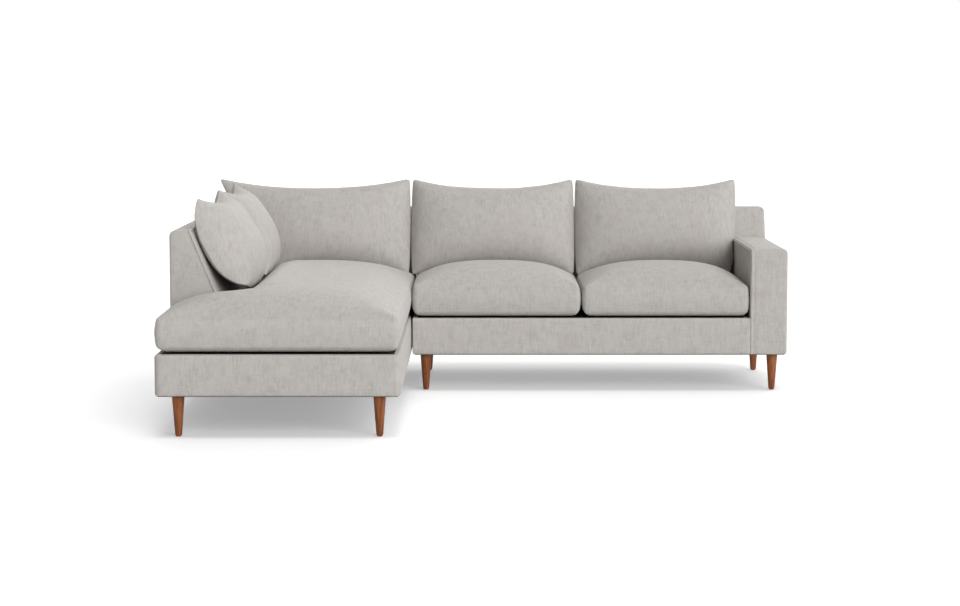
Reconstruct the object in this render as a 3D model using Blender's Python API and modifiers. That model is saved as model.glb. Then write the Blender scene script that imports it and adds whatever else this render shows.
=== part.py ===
"""Bumper sectional sofa in two modules, modelled as it is made: frame, springs, covers, legs and cushions.

The sofa module has two seats and one arm. The bumper module has a deep seat that runs forward past the sofa,
a back behind it and a side back that stops short of its front. Metres, +Z up, the front towards -Y. Modules
are drawn in one layout frame, with X = 0 on the line between them, Y = 0 on the sofa's front and Z = 0 on
the floor. An empty for each module then carries it so that the origin is under the middle of the whole sofa.
"""

import math

import bmesh
import bpy
from mathutils import Matrix, Vector
from mathutils.bvhtree import BVHTree

# Overall sizes
SOFA_WIDTH = 1.540
SOFA_DEPTH = 0.885
BUMPER_WIDTH = 0.880
BUMPER_REACH = 1.260
SIDE_BACK_REACH = 0.816
MODULE_GAP = 0.006
LEG_HEIGHT = 0.150
BASE_HEIGHT = 0.150
ARM_WIDTH = 0.150
ARM_RISE = 0.284
BACK_RISE = 0.413
BACK_TOP_DEPTH = 0.075
BACK_RAKE = math.radians(22.5)

# Covers and clearances
SKIN = 0.012
EDGE_ROUND = 0.020
JOIN_ROUND = 0.008
CLEARANCE = 0.0003
DUST_COVER = 0.0014
DUST_COVER_INSET = 0.010

# Wooden frame
RAIL_THICKNESS = 0.025
SILL_THICKNESS = 0.030
RIB_THICKNESS = 0.018
TOP_RAIL_HEIGHT = 0.022
LEG_BLOCK_SIZE = 0.090
LEG_BLOCK_CHAMFER = 0.035

# Springs and pad
WIRE_DIAMETER = 0.0040
TIE_WIRE_DIAMETER = 0.0028
SPRING_WAVE_WIDTH = 0.050
SPRING_WAVE_LENGTH = 0.090
SPRING_LOOP_LEAN = 0.011
SOFA_SPRINGS = 5
BUMPER_SPRINGS = 7
SPRING_BEARING = 0.014
PAD_THICKNESS = 0.005

# Legs
LEG_TOP_DIAMETER = 0.045
LEG_FOOT_DIAMETER = 0.024
LEG_NECK = 0.010
GLIDE_DIAMETER = 0.019
GLIDE_HEIGHT = 0.004
BOLT_DIAMETER = 0.008
BOLT_LENGTH = 0.032
BOLT_PLAY = 0.001
LEG_FRONT_INSET = 0.065
LEG_REAR_INSET = 0.178
SOFA_LEG_INSET = 0.054
BUMPER_LEG_INSET = 0.077

# Clips between the modules
CLIP_LENGTH = 0.080
CLIP_SHEET = 0.0015
CLIP_PLATE = 0.034
CLIP_FLANGE = 0.025
CLIP_HEIGHT = 0.200
CLIP_SETBACK = 0.320

# Cushions
CUSHION_GAP = 0.005
SEAT_REST = 0.0005
SEAT_RIM = 0.138
SEAT_CROWN = 0.074
SEAT_CROWN_REACH = 0.230
SEAT_CROWN_FALL = 2.2
SEAT_NOTCH_REACH = 0.080
SEAT_EDGE_LOOP = 0.040
SEAT_LOWER_LOOP = 0.030
SEAT_UPPER_LOOP = 0.041
NOTCH_EASE = 0.020
PILLOW_SEAM = 0.004
PILLOW_DIP = 0.050
PILLOW_WAIST = 0.004
BACK_CUSHION_WIDTH = 0.711
BACK_CUSHION_HEIGHT = 0.453
BACK_CUSHION_FRONT = 0.115
BACK_CUSHION_REAR = 0.052
ARM_CUSHION_TAPER = 0.032
CORNER_CUSHION_INSET = 0.010
CORNER_CUSHION_EASE = 0.046
CORNER_CUSHION_FILL = 0.55
SIDE_CUSHION_LEAN = math.radians(29.0)
SIDE_CUSHION_HEIGHT = 0.418
SIDE_CUSHION_FRONT = 0.185
SIDE_CUSHION_REAR = 0.021
SIDE_CUSHION_SAG = 0.070
SIDE_CUSHION_FRONT_LENGTH = 0.690
SIDE_CUSHION_REAR_LENGTH = 0.600
SIDE_CUSHION_SETBACK = 0.075

# Heights and planes that follow from the sizes above
BASE_BOTTOM = LEG_HEIGHT + DUST_COVER + 2 * CLEARANCE
BASE_TOP = BASE_BOTTOM + BASE_HEIGHT
ARM_TOP = BASE_TOP + ARM_RISE
BACK_TOP = BASE_TOP + BACK_RISE
BACK_FOOT_DEPTH = BACK_TOP_DEPTH + BACK_RISE * math.tan(BACK_RAKE)
BACK_FOOT = SOFA_DEPTH - BACK_FOOT_DEPTH
SIDE_FOOT = -BUMPER_WIDTH + BACK_FOOT_DEPTH
SIDE_BACK_END = -SIDE_BACK_REACH
SOFA_LEFT = MODULE_GAP / 2
BUMPER_RIGHT = -MODULE_GAP / 2
ARM_INNER = SOFA_WIDTH - ARM_WIDTH
INSET = SKIN + CLEARANCE
DECK_UNDERSIDE = BASE_TOP - SKIN
PAD_TOP = DECK_UNDERSIDE - CLEARANCE
WIRE_CENTRE = PAD_TOP - PAD_THICKNESS - CLEARANCE - WIRE_DIAMETER / 2
RAIL_TOP = WIRE_CENTRE - WIRE_DIAMETER / 2 - CLEARANCE
RAIL_BOTTOM = BASE_BOTTOM
SILL_TOP = BASE_BOTTOM + SILL_THICKNESS
MODULE_PLACE = Vector(((BUMPER_WIDTH - SOFA_WIDTH) / 2, (BUMPER_REACH - SOFA_DEPTH) / 2, 0.0))

SHARP_EDGE = math.radians(35)
LEG_STEPS = 16
ROUND_SEGMENTS = 3
HOLE_SIDES = 12
SETTLE_ROUNDS = 6
WAVE_POINTS = 6
PILLOW_BAYS = 6
PILLOW_FALL = 3
PILLOW_DIP_FALL = 2.5
PILLOW_FULLNESS = 0.55
PILLOW_FLATNESS = 1.5
WELD_DISTANCE = 0.00001


def clear_scene():
    for item in list(bpy.data.objects):
        bpy.data.objects.remove(item)


def make_collection(name):
    collection = bpy.data.collections.new(name)
    bpy.context.scene.collection.children.link(collection)
    return collection


def make_material(name, colour, roughness, metallic=0.0):
    material = bpy.data.materials.new(name)
    material.use_nodes = True
    shader = material.node_tree.nodes["Principled BSDF"]
    shader.inputs["Base Color"].default_value = (*colour, 1.0)
    shader.inputs["Roughness"].default_value = roughness
    shader.inputs["Metallic"].default_value = metallic
    return material


clear_scene()
PARTS = make_collection("bumper_sectional_sofa")
CUTTERS = make_collection("cutters")
UPHOLSTERY = make_material("upholstery", (0.50, 0.47, 0.45), 0.92)
CUSHION_FABRIC = make_material("cushion_fabric", (0.47, 0.45, 0.42), 0.92)
LEG_WOOD = make_material("leg_wood", (0.22, 0.085, 0.04), 0.45)
FRAME_WOOD = make_material("frame_wood", (0.56, 0.40, 0.24), 0.70)
SPRING_STEEL = make_material("spring_steel", (0.42, 0.43, 0.45), 0.35, 1.0)
FELT = make_material("felt", (0.62, 0.60, 0.56), 0.95)
DUST_CLOTH = make_material("dust_cloth", (0.02, 0.02, 0.022), 0.90)


def add_module(name):
    module = bpy.data.objects.new(name, None)
    module.location = MODULE_PLACE
    PARTS.objects.link(module)
    return module


BUMPER = add_module("bumper_module")
SOFA = add_module("sofa_module")
bpy.context.view_layer.update()


def add_node(name, data, material, module, smooth_angle=None):
    """Put a mesh or curve in the scene as one sub-part of a module."""
    data.materials.append(material)
    node = bpy.data.objects.new(name, data)
    node.parent = module
    PARTS.objects.link(node)
    if smooth_angle is not None:
        data.shade_smooth()
        data.set_sharp_from_angle(angle=smooth_angle)
    return node


def mesh_of(form, name):
    bmesh.ops.recalc_face_normals(form, faces=form.faces)
    mesh = bpy.data.meshes.new(name)
    form.to_mesh(mesh)
    form.free()
    return mesh


def block(name, low, high, material, module):
    """A plain squared timber between two corners."""
    low = Vector(low)
    high = Vector(high)
    form = bmesh.new()
    bmesh.ops.create_cube(form, size=1.0, matrix=Matrix.Diagonal((*(high - low), 1.0)))
    node = add_node(name, mesh_of(form, name), material, module)
    node.location = (low + high) / 2
    return node


def ring(centre, diameter, sides=HOLE_SIDES):
    """Points round a drilled hole."""
    turns = [2 * math.pi * step / sides for step in range(sides)]
    return [(centre[0] + diameter / 2 * math.cos(a), centre[1] + diameter / 2 * math.sin(a)) for a in turns]


def board(name, outlines, thickness, material, module):
    """A flat piece cut from sheet: the first outline is its edge, the others are holes."""
    curve = bpy.data.curves.new(name, "CURVE")
    curve.dimensions = "2D"
    curve.fill_mode = "BOTH"
    curve.extrude = thickness / 2
    for outline in outlines:
        spline = curve.splines.new("POLY")
        spline.points.add(len(outline) - 1)
        for point, place in zip(spline.points, outline):
            point.co = (*place, 0.0, 1.0)
        spline.use_cyclic_u = True
    return add_node(name, curve, material, module)


def rectangle(low, high):
    return [(low[0], low[1]), (high[0], low[1]), (high[0], high[1]), (low[0], high[1])]


def prism(outline, direction):
    """A solid swept straight from a flat outline."""
    form = bmesh.new()
    face = form.faces.new([form.verts.new(place) for place in outline])
    swept = bmesh.ops.extrude_face_region(form, geom=[face])
    moved = [item for item in swept["geom"] if isinstance(item, bmesh.types.BMVert)]
    bmesh.ops.translate(form, verts=moved, vec=direction)
    bmesh.ops.recalc_face_normals(form, faces=form.faces)
    return form


def add_cutter(name, form):
    """A hidden guide solid, drawn in the layout frame."""
    mesh = bpy.data.meshes.new(name)
    form.to_mesh(mesh)
    form.free()
    cutter = bpy.data.objects.new(name, mesh)
    cutter.location = MODULE_PLACE
    cutter.hide_render = True
    cutter.display_type = "WIRE"
    CUTTERS.objects.link(cutter)
    return cutter


def combine(node, other, operation):
    boolean = node.modifiers.new(f"{operation.lower()}_{other.name}", "BOOLEAN")
    boolean.operation = operation
    boolean.object = other


def room_inside(outline, direction):
    """The hollow of a cover: its swept outline set in by the skin all round, and run out underneath."""
    form = bmesh.new()
    face = form.faces.new([form.verts.new(place) for place in outline])
    form.normal_update()
    rim = bmesh.ops.inset_region(form, faces=[face], thickness=SKIN, use_boundary=True, use_even_offset=True)
    bmesh.ops.delete(form, geom=rim["faces"], context="FACES")
    run = Vector(direction).normalized() * SKIN
    bmesh.ops.translate(form, verts=form.verts, vec=run)
    swept = bmesh.ops.extrude_face_region(form, geom=form.faces[:])
    moved = [item for item in swept["geom"] if isinstance(item, bmesh.types.BMVert)]
    bmesh.ops.translate(form, verts=moved, vec=Vector(direction) - 2 * run)
    lowest = min(vert.co.z for vert in form.verts)
    feet = [vert for vert in form.verts if vert.co.z < lowest + CLEARANCE]
    bmesh.ops.translate(form, verts=feet, vec=(0.0, 0.0, -2 * SKIN))
    bmesh.ops.recalc_face_normals(form, faces=form.faces)
    return form


def on_plane(edge, axis, value):
    return all(abs(vert.co[axis] - value) < CLEARANCE for vert in edge.verts)


def cover(name, outline, direction, module, is_join):
    """A padded cover: a rounded skin over a swept outline, open underneath where it is stapled.

    is_join tells the edges that butt against another cover, which are sewn tighter than the free ones.
    """
    form = prism(outline, direction)
    rounded = form.edges.layers.float.new("bevel_weight_edge")
    for edge in form.edges:
        if on_plane(edge, 2, BASE_BOTTOM) or edge.calc_face_angle() < SHARP_EDGE:
            edge[rounded] = 0.0
        else:
            edge[rounded] = JOIN_ROUND / EDGE_ROUND if is_join(edge) else 1.0
    node = add_node(name, mesh_of(form, name), UPHOLSTERY, module, smooth_angle=SHARP_EDGE)
    rounding = node.modifiers.new("rounded_edges", "BEVEL")
    rounding.width = EDGE_ROUND
    rounding.segments = ROUND_SEGMENTS
    rounding.limit_method = "WEIGHT"
    combine(node, add_cutter(f"{name}_room", room_inside(outline, direction)), "DIFFERENCE")
    return node


def back_face(height, setback=0.0):
    """Distance of the raked face from the outer face of a back, at a height above the floor."""
    raked = BACK_TOP_DEPTH + (BACK_TOP - height) * math.tan(BACK_RAKE) - setback / math.cos(BACK_RAKE)
    return min(raked, BACK_FOOT_DEPTH - setback)


def crease_height(setback):
    """Height where the upright foot of a back turns into its raked face, set back inside the cover."""
    return BASE_TOP - setback * (1 / math.cos(BACK_RAKE) - 1) / math.tan(BACK_RAKE)


def back_profile(grow=0.0):
    """Cross-section of a raked back as (distance from the outer face, height), grown by a clearance."""
    crease = crease_height(-grow)
    top = BACK_TOP + grow
    return [
        (-grow, BASE_BOTTOM - grow),
        (BACK_FOOT_DEPTH + grow, BASE_BOTTOM - grow),
        (BACK_FOOT_DEPTH + grow, crease),
        (back_face(top, -grow), top),
        (-grow, top),
    ]


def facing_front(profile, x):
    return [(x, SOFA_DEPTH - depth, height) for depth, height in profile]


def facing_right(profile, y):
    return [(-BUMPER_WIDTH + depth, y, height) for depth, height in profile]


def back_room():
    """The room that the rear backs take from the arm and the side back that butt against them."""
    span = 2 * (SOFA_WIDTH + BUMPER_WIDTH)
    profile = facing_front(back_profile(CLEARANCE), -span / 2)
    return add_cutter("back_room", prism(profile, Vector((span, 0.0, 0.0))))


def end_edge(edge, along):
    """Whether an edge runs round the end of a back, below its top, rather than along it."""
    run = edge.verts[1].co - edge.verts[0].co
    return abs(run[along]) < CLEARANCE and not on_plane(edge, 2, BACK_TOP)


def add_base_covers():
    upward = Vector((0.0, 0.0, BASE_HEIGHT))
    step = SIDE_BACK_END - CLEARANCE
    inner = SIDE_FOOT + CLEARANCE
    right = ARM_INNER - CLEARANCE
    rear = BACK_FOOT - CLEARANCE
    bumper_plan = [
        (-BUMPER_WIDTH, -BUMPER_REACH, BASE_BOTTOM),
        (BUMPER_RIGHT, -BUMPER_REACH, BASE_BOTTOM),
        (BUMPER_RIGHT, rear, BASE_BOTTOM),
        (inner, rear, BASE_BOTTOM),
        (inner, step, BASE_BOTTOM),
        (-BUMPER_WIDTH, step, BASE_BOTTOM),
    ]
    sofa_plan = [(x, y, BASE_BOTTOM) for x, y in rectangle((SOFA_LEFT, 0.0), (right, rear))]

    def bumper_join(edge):
        return on_plane(edge, 0, inner) or on_plane(edge, 1, step) or on_plane(edge, 1, rear)

    def sofa_join(edge):
        return on_plane(edge, 0, right) or on_plane(edge, 1, rear)

    cover("bumper_base_cover", bumper_plan, upward, BUMPER, bumper_join)
    cover("sofa_base_cover", sofa_plan, upward, SOFA, sofa_join)


def add_back_and_arm_covers():
    across = Vector((1.0, 0.0, 0.0))
    along = Vector((0.0, 1.0, 0.0))
    room = back_room()

    def rear_back_join(edge):
        return end_edge(edge, 0) and not on_plane(edge, 1, SOFA_DEPTH)

    def side_back_join(edge):
        return end_edge(edge, 1)

    def arm_join(edge):
        return on_plane(edge, 0, ARM_INNER)

    bumper_back = facing_front(back_profile(), -BUMPER_WIDTH)
    bumper_width = across * (BUMPER_WIDTH + BUMPER_RIGHT)
    cover("bumper_back_cover", bumper_back, bumper_width, BUMPER, rear_back_join)
    sofa_back = facing_front(back_profile(), SOFA_LEFT)
    cover("sofa_back_cover", sofa_back, across * (SOFA_WIDTH - SOFA_LEFT), SOFA, rear_back_join)
    side_back = facing_right(back_profile(), SIDE_BACK_END)
    side_length = along * (SOFA_DEPTH - SIDE_BACK_END)
    side_cover = cover("bumper_side_back_cover", side_back, side_length, BUMPER, side_back_join)
    combine(side_cover, room, "DIFFERENCE")
    arm_end = rectangle((ARM_INNER, BASE_BOTTOM), (SOFA_WIDTH, ARM_TOP))
    arm_end = [(x, 0.0, height) for x, height in arm_end]
    arm_cover = cover("sofa_arm_cover", arm_end, along * SOFA_DEPTH, SOFA, arm_join)
    combine(arm_cover, room, "DIFFERENCE")


def leg_places():
    """Leg name, its module and its place on the floor."""
    front = LEG_FRONT_INSET
    rear = SOFA_DEPTH - LEG_REAR_INSET
    bumper_front = LEG_FRONT_INSET - BUMPER_REACH
    sofa_left = SOFA_LEFT + SOFA_LEG_INSET
    sofa_right = SOFA_WIDTH - SOFA_LEG_INSET
    bumper_left = BUMPER_LEG_INSET - BUMPER_WIDTH
    bumper_right = BUMPER_RIGHT - BUMPER_LEG_INSET
    return {
        "sofa_leg_front_left": (SOFA, sofa_left, front),
        "sofa_leg_front_right": (SOFA, sofa_right, front),
        "sofa_leg_rear_left": (SOFA, sofa_left, rear),
        "sofa_leg_rear_right": (SOFA, sofa_right, rear),
        "bumper_leg_front_left": (BUMPER, bumper_left, bumper_front),
        "bumper_leg_front_right": (BUMPER, bumper_right, bumper_front),
        "bumper_leg_rear_left": (BUMPER, bumper_left, rear),
        "bumper_leg_rear_right": (BUMPER, bumper_right, rear),
    }


def bolt_hole(leg, play=BOLT_PLAY):
    _, x, y = leg_places()[leg]
    return ring((x, y), BOLT_DIAMETER + 2 * play)


def add_legs():
    """Turned tapered legs with a floor glide below and a hanger bolt above."""
    profile = [
        (0.0, LEG_HEIGHT + BOLT_LENGTH),
        (BOLT_DIAMETER / 2, LEG_HEIGHT + BOLT_LENGTH),
        (BOLT_DIAMETER / 2, LEG_HEIGHT),
        (LEG_TOP_DIAMETER / 2, LEG_HEIGHT),
        (LEG_TOP_DIAMETER / 2, LEG_HEIGHT - LEG_NECK),
        (LEG_FOOT_DIAMETER / 2, GLIDE_HEIGHT),
        (GLIDE_DIAMETER / 2, GLIDE_HEIGHT),
        (GLIDE_DIAMETER / 2, 0.0),
        (0.0, 0.0),
    ]
    for name, (module, x, y) in leg_places().items():
        mesh = bpy.data.meshes.new(name)
        line = bmesh.new()
        verts = [line.verts.new((radius, 0.0, height)) for radius, height in profile]
        for upper, lower in zip(verts, verts[1:]):
            line.edges.new((upper, lower))
        line.to_mesh(mesh)
        line.free()
        leg = add_node(name, mesh, LEG_WOOD, module)
        leg.location = (x, y, 0.0)
        turning = leg.modifiers.new("turning", "SCREW")
        turning.steps = LEG_STEPS
        turning.render_steps = LEG_STEPS
        turning.use_merge_vertices = True
        turning.merge_threshold = 0.0001
        turning.use_smooth_shade = True


def add_sofa_base_frame():
    left = SOFA_LEFT + INSET
    right = ARM_INNER - CLEARANCE - INSET
    front = INSET
    rear = BACK_FOOT - CLEARANCE - INSET
    rail = RAIL_THICKNESS
    butt = rail + CLEARANCE
    low, high = RAIL_BOTTOM, RAIL_TOP
    block("sofa_front_rail", (left, front, low), (right, front + rail, high), FRAME_WOOD, SOFA)
    block("sofa_rear_rail", (left, rear - rail, low), (right, rear, high), FRAME_WOOD, SOFA)
    block("sofa_left_rail", (left, front + butt, low), (left + rail, rear - butt, high), FRAME_WOOD, SOFA)
    block("sofa_right_rail", (right - rail, front + butt, low), (right, rear - butt, high), FRAME_WOOD, SOFA)
    corner = (left + butt, front + butt)
    leg_block("sofa_leg_block", corner, 1, bolt_hole("sofa_leg_front_left"), SOFA)


def leg_block(name, corner, side, hole, module):
    """A block glued into a corner of the rails, with its free corner cut off; side is 1 or -1 along X."""
    x, y = corner
    short = LEG_BLOCK_SIZE - LEG_BLOCK_CHAMFER
    outline = [
        (x, y),
        (x + side * LEG_BLOCK_SIZE, y),
        (x + side * LEG_BLOCK_SIZE, y + short),
        (x + side * short, y + LEG_BLOCK_SIZE),
        (x, y + LEG_BLOCK_SIZE),
    ]
    piece = board(name, [outline, hole], SILL_THICKNESS, FRAME_WOOD, module)
    piece.location.z = SILL_TOP - SILL_THICKNESS / 2


def add_bumper_base_frame():
    left = -BUMPER_WIDTH + INSET
    inner = SIDE_FOOT + CLEARANCE + INSET
    right = BUMPER_RIGHT - INSET
    front = -BUMPER_REACH + INSET
    step = SIDE_BACK_END - CLEARANCE - INSET
    rear = BACK_FOOT - CLEARANCE - INSET
    rail = RAIL_THICKNESS
    butt = rail + CLEARANCE
    low, high = RAIL_BOTTOM, RAIL_TOP
    block("bumper_front_rail", (left, front, low), (right, front + rail, high),
          FRAME_WOOD, BUMPER)
    block("bumper_side_rail", (left, front + butt, low), (left + rail, step - butt, high),
          FRAME_WOOD, BUMPER)
    block("bumper_step_rail", (left, step - rail, low), (right - butt, step, high),
          FRAME_WOOD, BUMPER)
    block("bumper_left_rail", (inner, step + CLEARANCE, low), (inner + rail, rear - butt, high),
          FRAME_WOOD, BUMPER)
    block("bumper_right_rail", (right - rail, front + butt, low), (right, rear - butt, high),
          FRAME_WOOD, BUMPER)
    block("bumper_rear_rail", (inner, rear - rail, low), (right, rear, high),
          FRAME_WOOD, BUMPER)
    corner_left = (left + butt, front + butt)
    corner_right = (right - butt, front + butt)
    leg_block("bumper_leg_block_left", corner_left, 1, bolt_hole("bumper_leg_front_left"), BUMPER)
    leg_block("bumper_leg_block_right", corner_right, -1, bolt_hole("bumper_leg_front_right"), BUMPER)


def rib_outline():
    """A plywood rib of a raked back, between its sill and its top rail."""
    low = SILL_TOP + CLEARANCE
    high = BACK_TOP - INSET - TOP_RAIL_HEIGHT - CLEARANCE
    crease = crease_height(INSET)
    return [
        (INSET, low),
        (BACK_FOOT_DEPTH - INSET, low),
        (BACK_FOOT_DEPTH - INSET, crease),
        (back_face(high, INSET), high),
        (INSET, high),
    ]


def rear_rib(name, x, module):
    outline = [(SOFA_DEPTH - depth, height) for depth, height in rib_outline()]
    rib = board(name, [outline], RIB_THICKNESS, FRAME_WOOD, module)
    rib.rotation_euler = (math.pi / 2, 0.0, math.pi / 2)
    rib.location.x = x


def side_rib(name, y):
    outline = [(-BUMPER_WIDTH + depth, height) for depth, height in rib_outline()]
    rib = board(name, [outline], RIB_THICKNESS, FRAME_WOOD, BUMPER)
    rib.rotation_euler = (math.pi / 2, 0.0, 0.0)
    rib.location.y = y


def top_rail_depths():
    """Near and far edges of a top rail, measured in from the outer face of its back."""
    high = BACK_TOP - INSET
    return INSET, back_face(high, INSET)


def add_rear_back_frame(prefix, left, right, rib_places, legs, module):
    """Sill, ribs and top rail inside one of the two rear backs."""
    near, far = top_rail_depths()
    low = (left + INSET, BACK_FOOT + INSET)
    high = (right - INSET, SOFA_DEPTH - INSET)
    holes = [bolt_hole(leg) for leg in legs]
    sill = board(f"{prefix}_back_sill", [rectangle(low, high), *holes], SILL_THICKNESS, FRAME_WOOD, module)
    sill.location.z = SILL_TOP - SILL_THICKNESS / 2
    for place, x in rib_places.items():
        rear_rib(f"{prefix}_back_rib_{place}", x, module)
    rail_high = BACK_TOP - INSET
    block(f"{prefix}_back_top_rail", (low[0], SOFA_DEPTH - far, rail_high - TOP_RAIL_HEIGHT),
          (high[0], SOFA_DEPTH - near, rail_high), FRAME_WOOD, module)


def add_rear_back_frames():
    end = INSET + RIB_THICKNESS / 2
    sofa_ribs = {
        "left": SOFA_LEFT + end,
        "middle": (SOFA_LEFT + SOFA_WIDTH) / 2,
        "right": SOFA_WIDTH - end,
    }
    bumper_ribs = {"left": -BUMPER_WIDTH + end, "right": BUMPER_RIGHT - end}
    add_rear_back_frame("sofa", SOFA_LEFT, SOFA_WIDTH, sofa_ribs,
                        ("sofa_leg_rear_left", "sofa_leg_rear_right"), SOFA)
    add_rear_back_frame("bumper", -BUMPER_WIDTH, BUMPER_RIGHT, bumper_ribs,
                        ("bumper_leg_rear_left", "bumper_leg_rear_right"), BUMPER)


def add_side_back_frame():
    near, far = top_rail_depths()
    front = SIDE_BACK_END + INSET
    rear = BACK_FOOT - 2 * CLEARANCE
    sill_low = (-BUMPER_WIDTH + INSET, front, BASE_BOTTOM)
    sill_high = (SIDE_FOOT - INSET, rear, SILL_TOP)
    block("bumper_side_sill", sill_low, sill_high, FRAME_WOOD, BUMPER)
    side_rib("bumper_side_rib_front", front + RIB_THICKNESS / 2)
    side_rib("bumper_side_rib_rear", rear - RIB_THICKNESS / 2)
    rail_high = BACK_TOP - INSET
    rail_low = (-BUMPER_WIDTH + near, front, rail_high - TOP_RAIL_HEIGHT)
    rail_rear = SOFA_DEPTH - back_face(rail_high - TOP_RAIL_HEIGHT) - 2 * CLEARANCE
    block("bumper_side_top_rail", rail_low, (-BUMPER_WIDTH + far, rail_rear, rail_high), FRAME_WOOD, BUMPER)


def add_arm_frame():
    left = ARM_INNER + INSET
    right = SOFA_WIDTH - INSET
    front = INSET
    rear = BACK_FOOT - 2 * CLEARANCE
    outline = rectangle((left, front), (right, rear))
    sill = board("sofa_arm_sill", [outline, bolt_hole("sofa_leg_front_right")], SILL_THICKNESS,
                 FRAME_WOOD, SOFA)
    sill.location.z = SILL_TOP - SILL_THICKNESS / 2
    rail_low = ARM_TOP - INSET - TOP_RAIL_HEIGHT
    post_low = SILL_TOP + CLEARANCE
    post_high = rail_low - CLEARANCE
    post_front = front
    block("sofa_arm_front_post", (left, post_front, post_low), (right, post_front + RIB_THICKNESS, post_high),
          FRAME_WOOD, SOFA)
    block("sofa_arm_rear_post", (left, rear - RIB_THICKNESS, post_low), (right, rear, post_high),
          FRAME_WOOD, SOFA)
    rail_rear = SOFA_DEPTH - back_face(rail_low) - 2 * CLEARANCE
    block("sofa_arm_top_rail", (left, post_front, rail_low),
          (right, rail_rear, rail_low + TOP_RAIL_HEIGHT), FRAME_WOOD, SOFA)


def wire_mesh(name, points, diameter):
    """A round wire along a path, as a closed mesh."""
    curve = bpy.data.curves.new(name, "CURVE")
    curve.dimensions = "3D"
    curve.bevel_depth = diameter / 2
    curve.bevel_resolution = 0
    curve.use_fill_caps = True
    spline = curve.splines.new("POLY")
    spline.points.add(len(points) - 1)
    for point, place in zip(spline.points, points):
        point.co = (*place, 1.0)
    guide = bpy.data.objects.new(name, curve)
    PARTS.objects.link(guide)
    evaluated = guide.evaluated_get(bpy.context.evaluated_depsgraph_get())
    mesh = bpy.data.meshes.new_from_object(evaluated)
    bpy.data.objects.remove(guide)
    form = bmesh.new()
    form.from_mesh(mesh)
    bmesh.ops.remove_doubles(form, verts=form.verts, dist=WELD_DISTANCE)
    bmesh.ops.recalc_face_normals(form, faces=form.faces)
    form.to_mesh(mesh)
    form.free()
    return mesh


def sinuous_path(start, end):
    """A zigzag spring wire between two rails: straight bearing ends and round loops between them."""
    start = Vector(start)
    end = Vector(end)
    run = (end - start).normalized()
    across = run.cross(Vector((0.0, 0.0, 1.0)))
    first = start + run * SPRING_BEARING * 2
    length = (end - start).length - 4 * SPRING_BEARING
    waves = max(2, round(length / SPRING_WAVE_LENGTH))
    steps = waves * WAVE_POINTS
    path = [start]
    for step in range(steps + 1):
        swing = math.sin(2 * math.pi * waves * step / steps)
        lead = math.sin(4 * math.pi * waves * step / steps)
        shift = run * (length * step / steps - lead * SPRING_LOOP_LEAN)
        path.append(first + shift + across * swing * SPRING_WAVE_WIDTH / 2)
    path.append(end)
    return path


def spring_set(name, wires, ties, module):
    """All the springs of one seat, clipped together where the tie wires cross them."""
    tie_mesh = wire_mesh(name, ties[0], TIE_WIRE_DIAMETER)
    node = add_node(name, tie_mesh, SPRING_STEEL, module)
    others = [(wire, WIRE_DIAMETER) for wire in wires] + [(tie, TIE_WIRE_DIAMETER) for tie in ties[1:]]
    for index, (path, diameter) in enumerate(others):
        form = bmesh.new()
        form.from_mesh(wire_mesh(name, path, diameter))
        combine(node, add_cutter(f"{name}_wire_{index}", form), "UNION")
    return node


def spread(low, high, count):
    """Middles of equal bays between two ends."""
    return [low + (high - low) * (index + 0.5) / count for index in range(count)]


def add_springs_and_pads():
    reach = INSET + SPRING_BEARING / 2
    z = WIRE_CENTRE
    rear = BACK_FOOT - CLEARANCE
    right = ARM_INNER - CLEARANCE
    sofa_lines = spread(SOFA_LEFT, right, SOFA_SPRINGS)
    sofa_wires = [sinuous_path((x, reach, z), (x, rear - reach, z)) for x in sofa_lines]
    half_bay = SPRING_WAVE_WIDTH
    sofa_ties = [
        [(sofa_lines[0] - half_bay, y, z), (sofa_lines[-1] + half_bay, y, z)]
        for y in spread(INSET, rear - INSET, 2)
    ]
    spring_set("sofa_springs", sofa_wires, sofa_ties, SOFA)

    front = -BUMPER_REACH + SPRING_WAVE_WIDTH
    bumper_wires = []
    bumper_lines = spread(front, rear - SPRING_WAVE_WIDTH, BUMPER_SPRINGS)
    for y in bumper_lines:
        open_front = y + SPRING_WAVE_WIDTH < SIDE_BACK_END
        left = -BUMPER_WIDTH if open_front else SIDE_FOOT + CLEARANCE
        bumper_wires.append(sinuous_path((left + reach, y, z), (BUMPER_RIGHT - reach, y, z)))
    bumper_ties = [
        [(x, bumper_lines[0] - half_bay, z), (x, bumper_lines[-1] + half_bay, z)]
        for x in spread(SIDE_FOOT + INSET, BUMPER_RIGHT - INSET, 2)
    ]
    spring_set("bumper_springs", bumper_wires, bumper_ties, BUMPER)

    edge = INSET
    sofa_pad = rectangle((SOFA_LEFT + edge, edge), (right - edge, rear - edge))
    inner = SIDE_FOOT + CLEARANCE + edge
    step = SIDE_BACK_END - CLEARANCE - edge
    left = -BUMPER_WIDTH + edge
    bumper_pad = [
        (left, -BUMPER_REACH + edge),
        (BUMPER_RIGHT - edge, -BUMPER_REACH + edge),
        (BUMPER_RIGHT - edge, rear - edge),
        (inner, rear - edge),
        (inner, step),
        (left, step),
    ]
    for name, outline, module in (("sofa_pad", sofa_pad, SOFA), ("bumper_pad", bumper_pad, BUMPER)):
        pad = board(name, [outline], PAD_THICKNESS, FELT, module)
        pad.location.z = PAD_TOP - PAD_THICKNESS / 2


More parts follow.
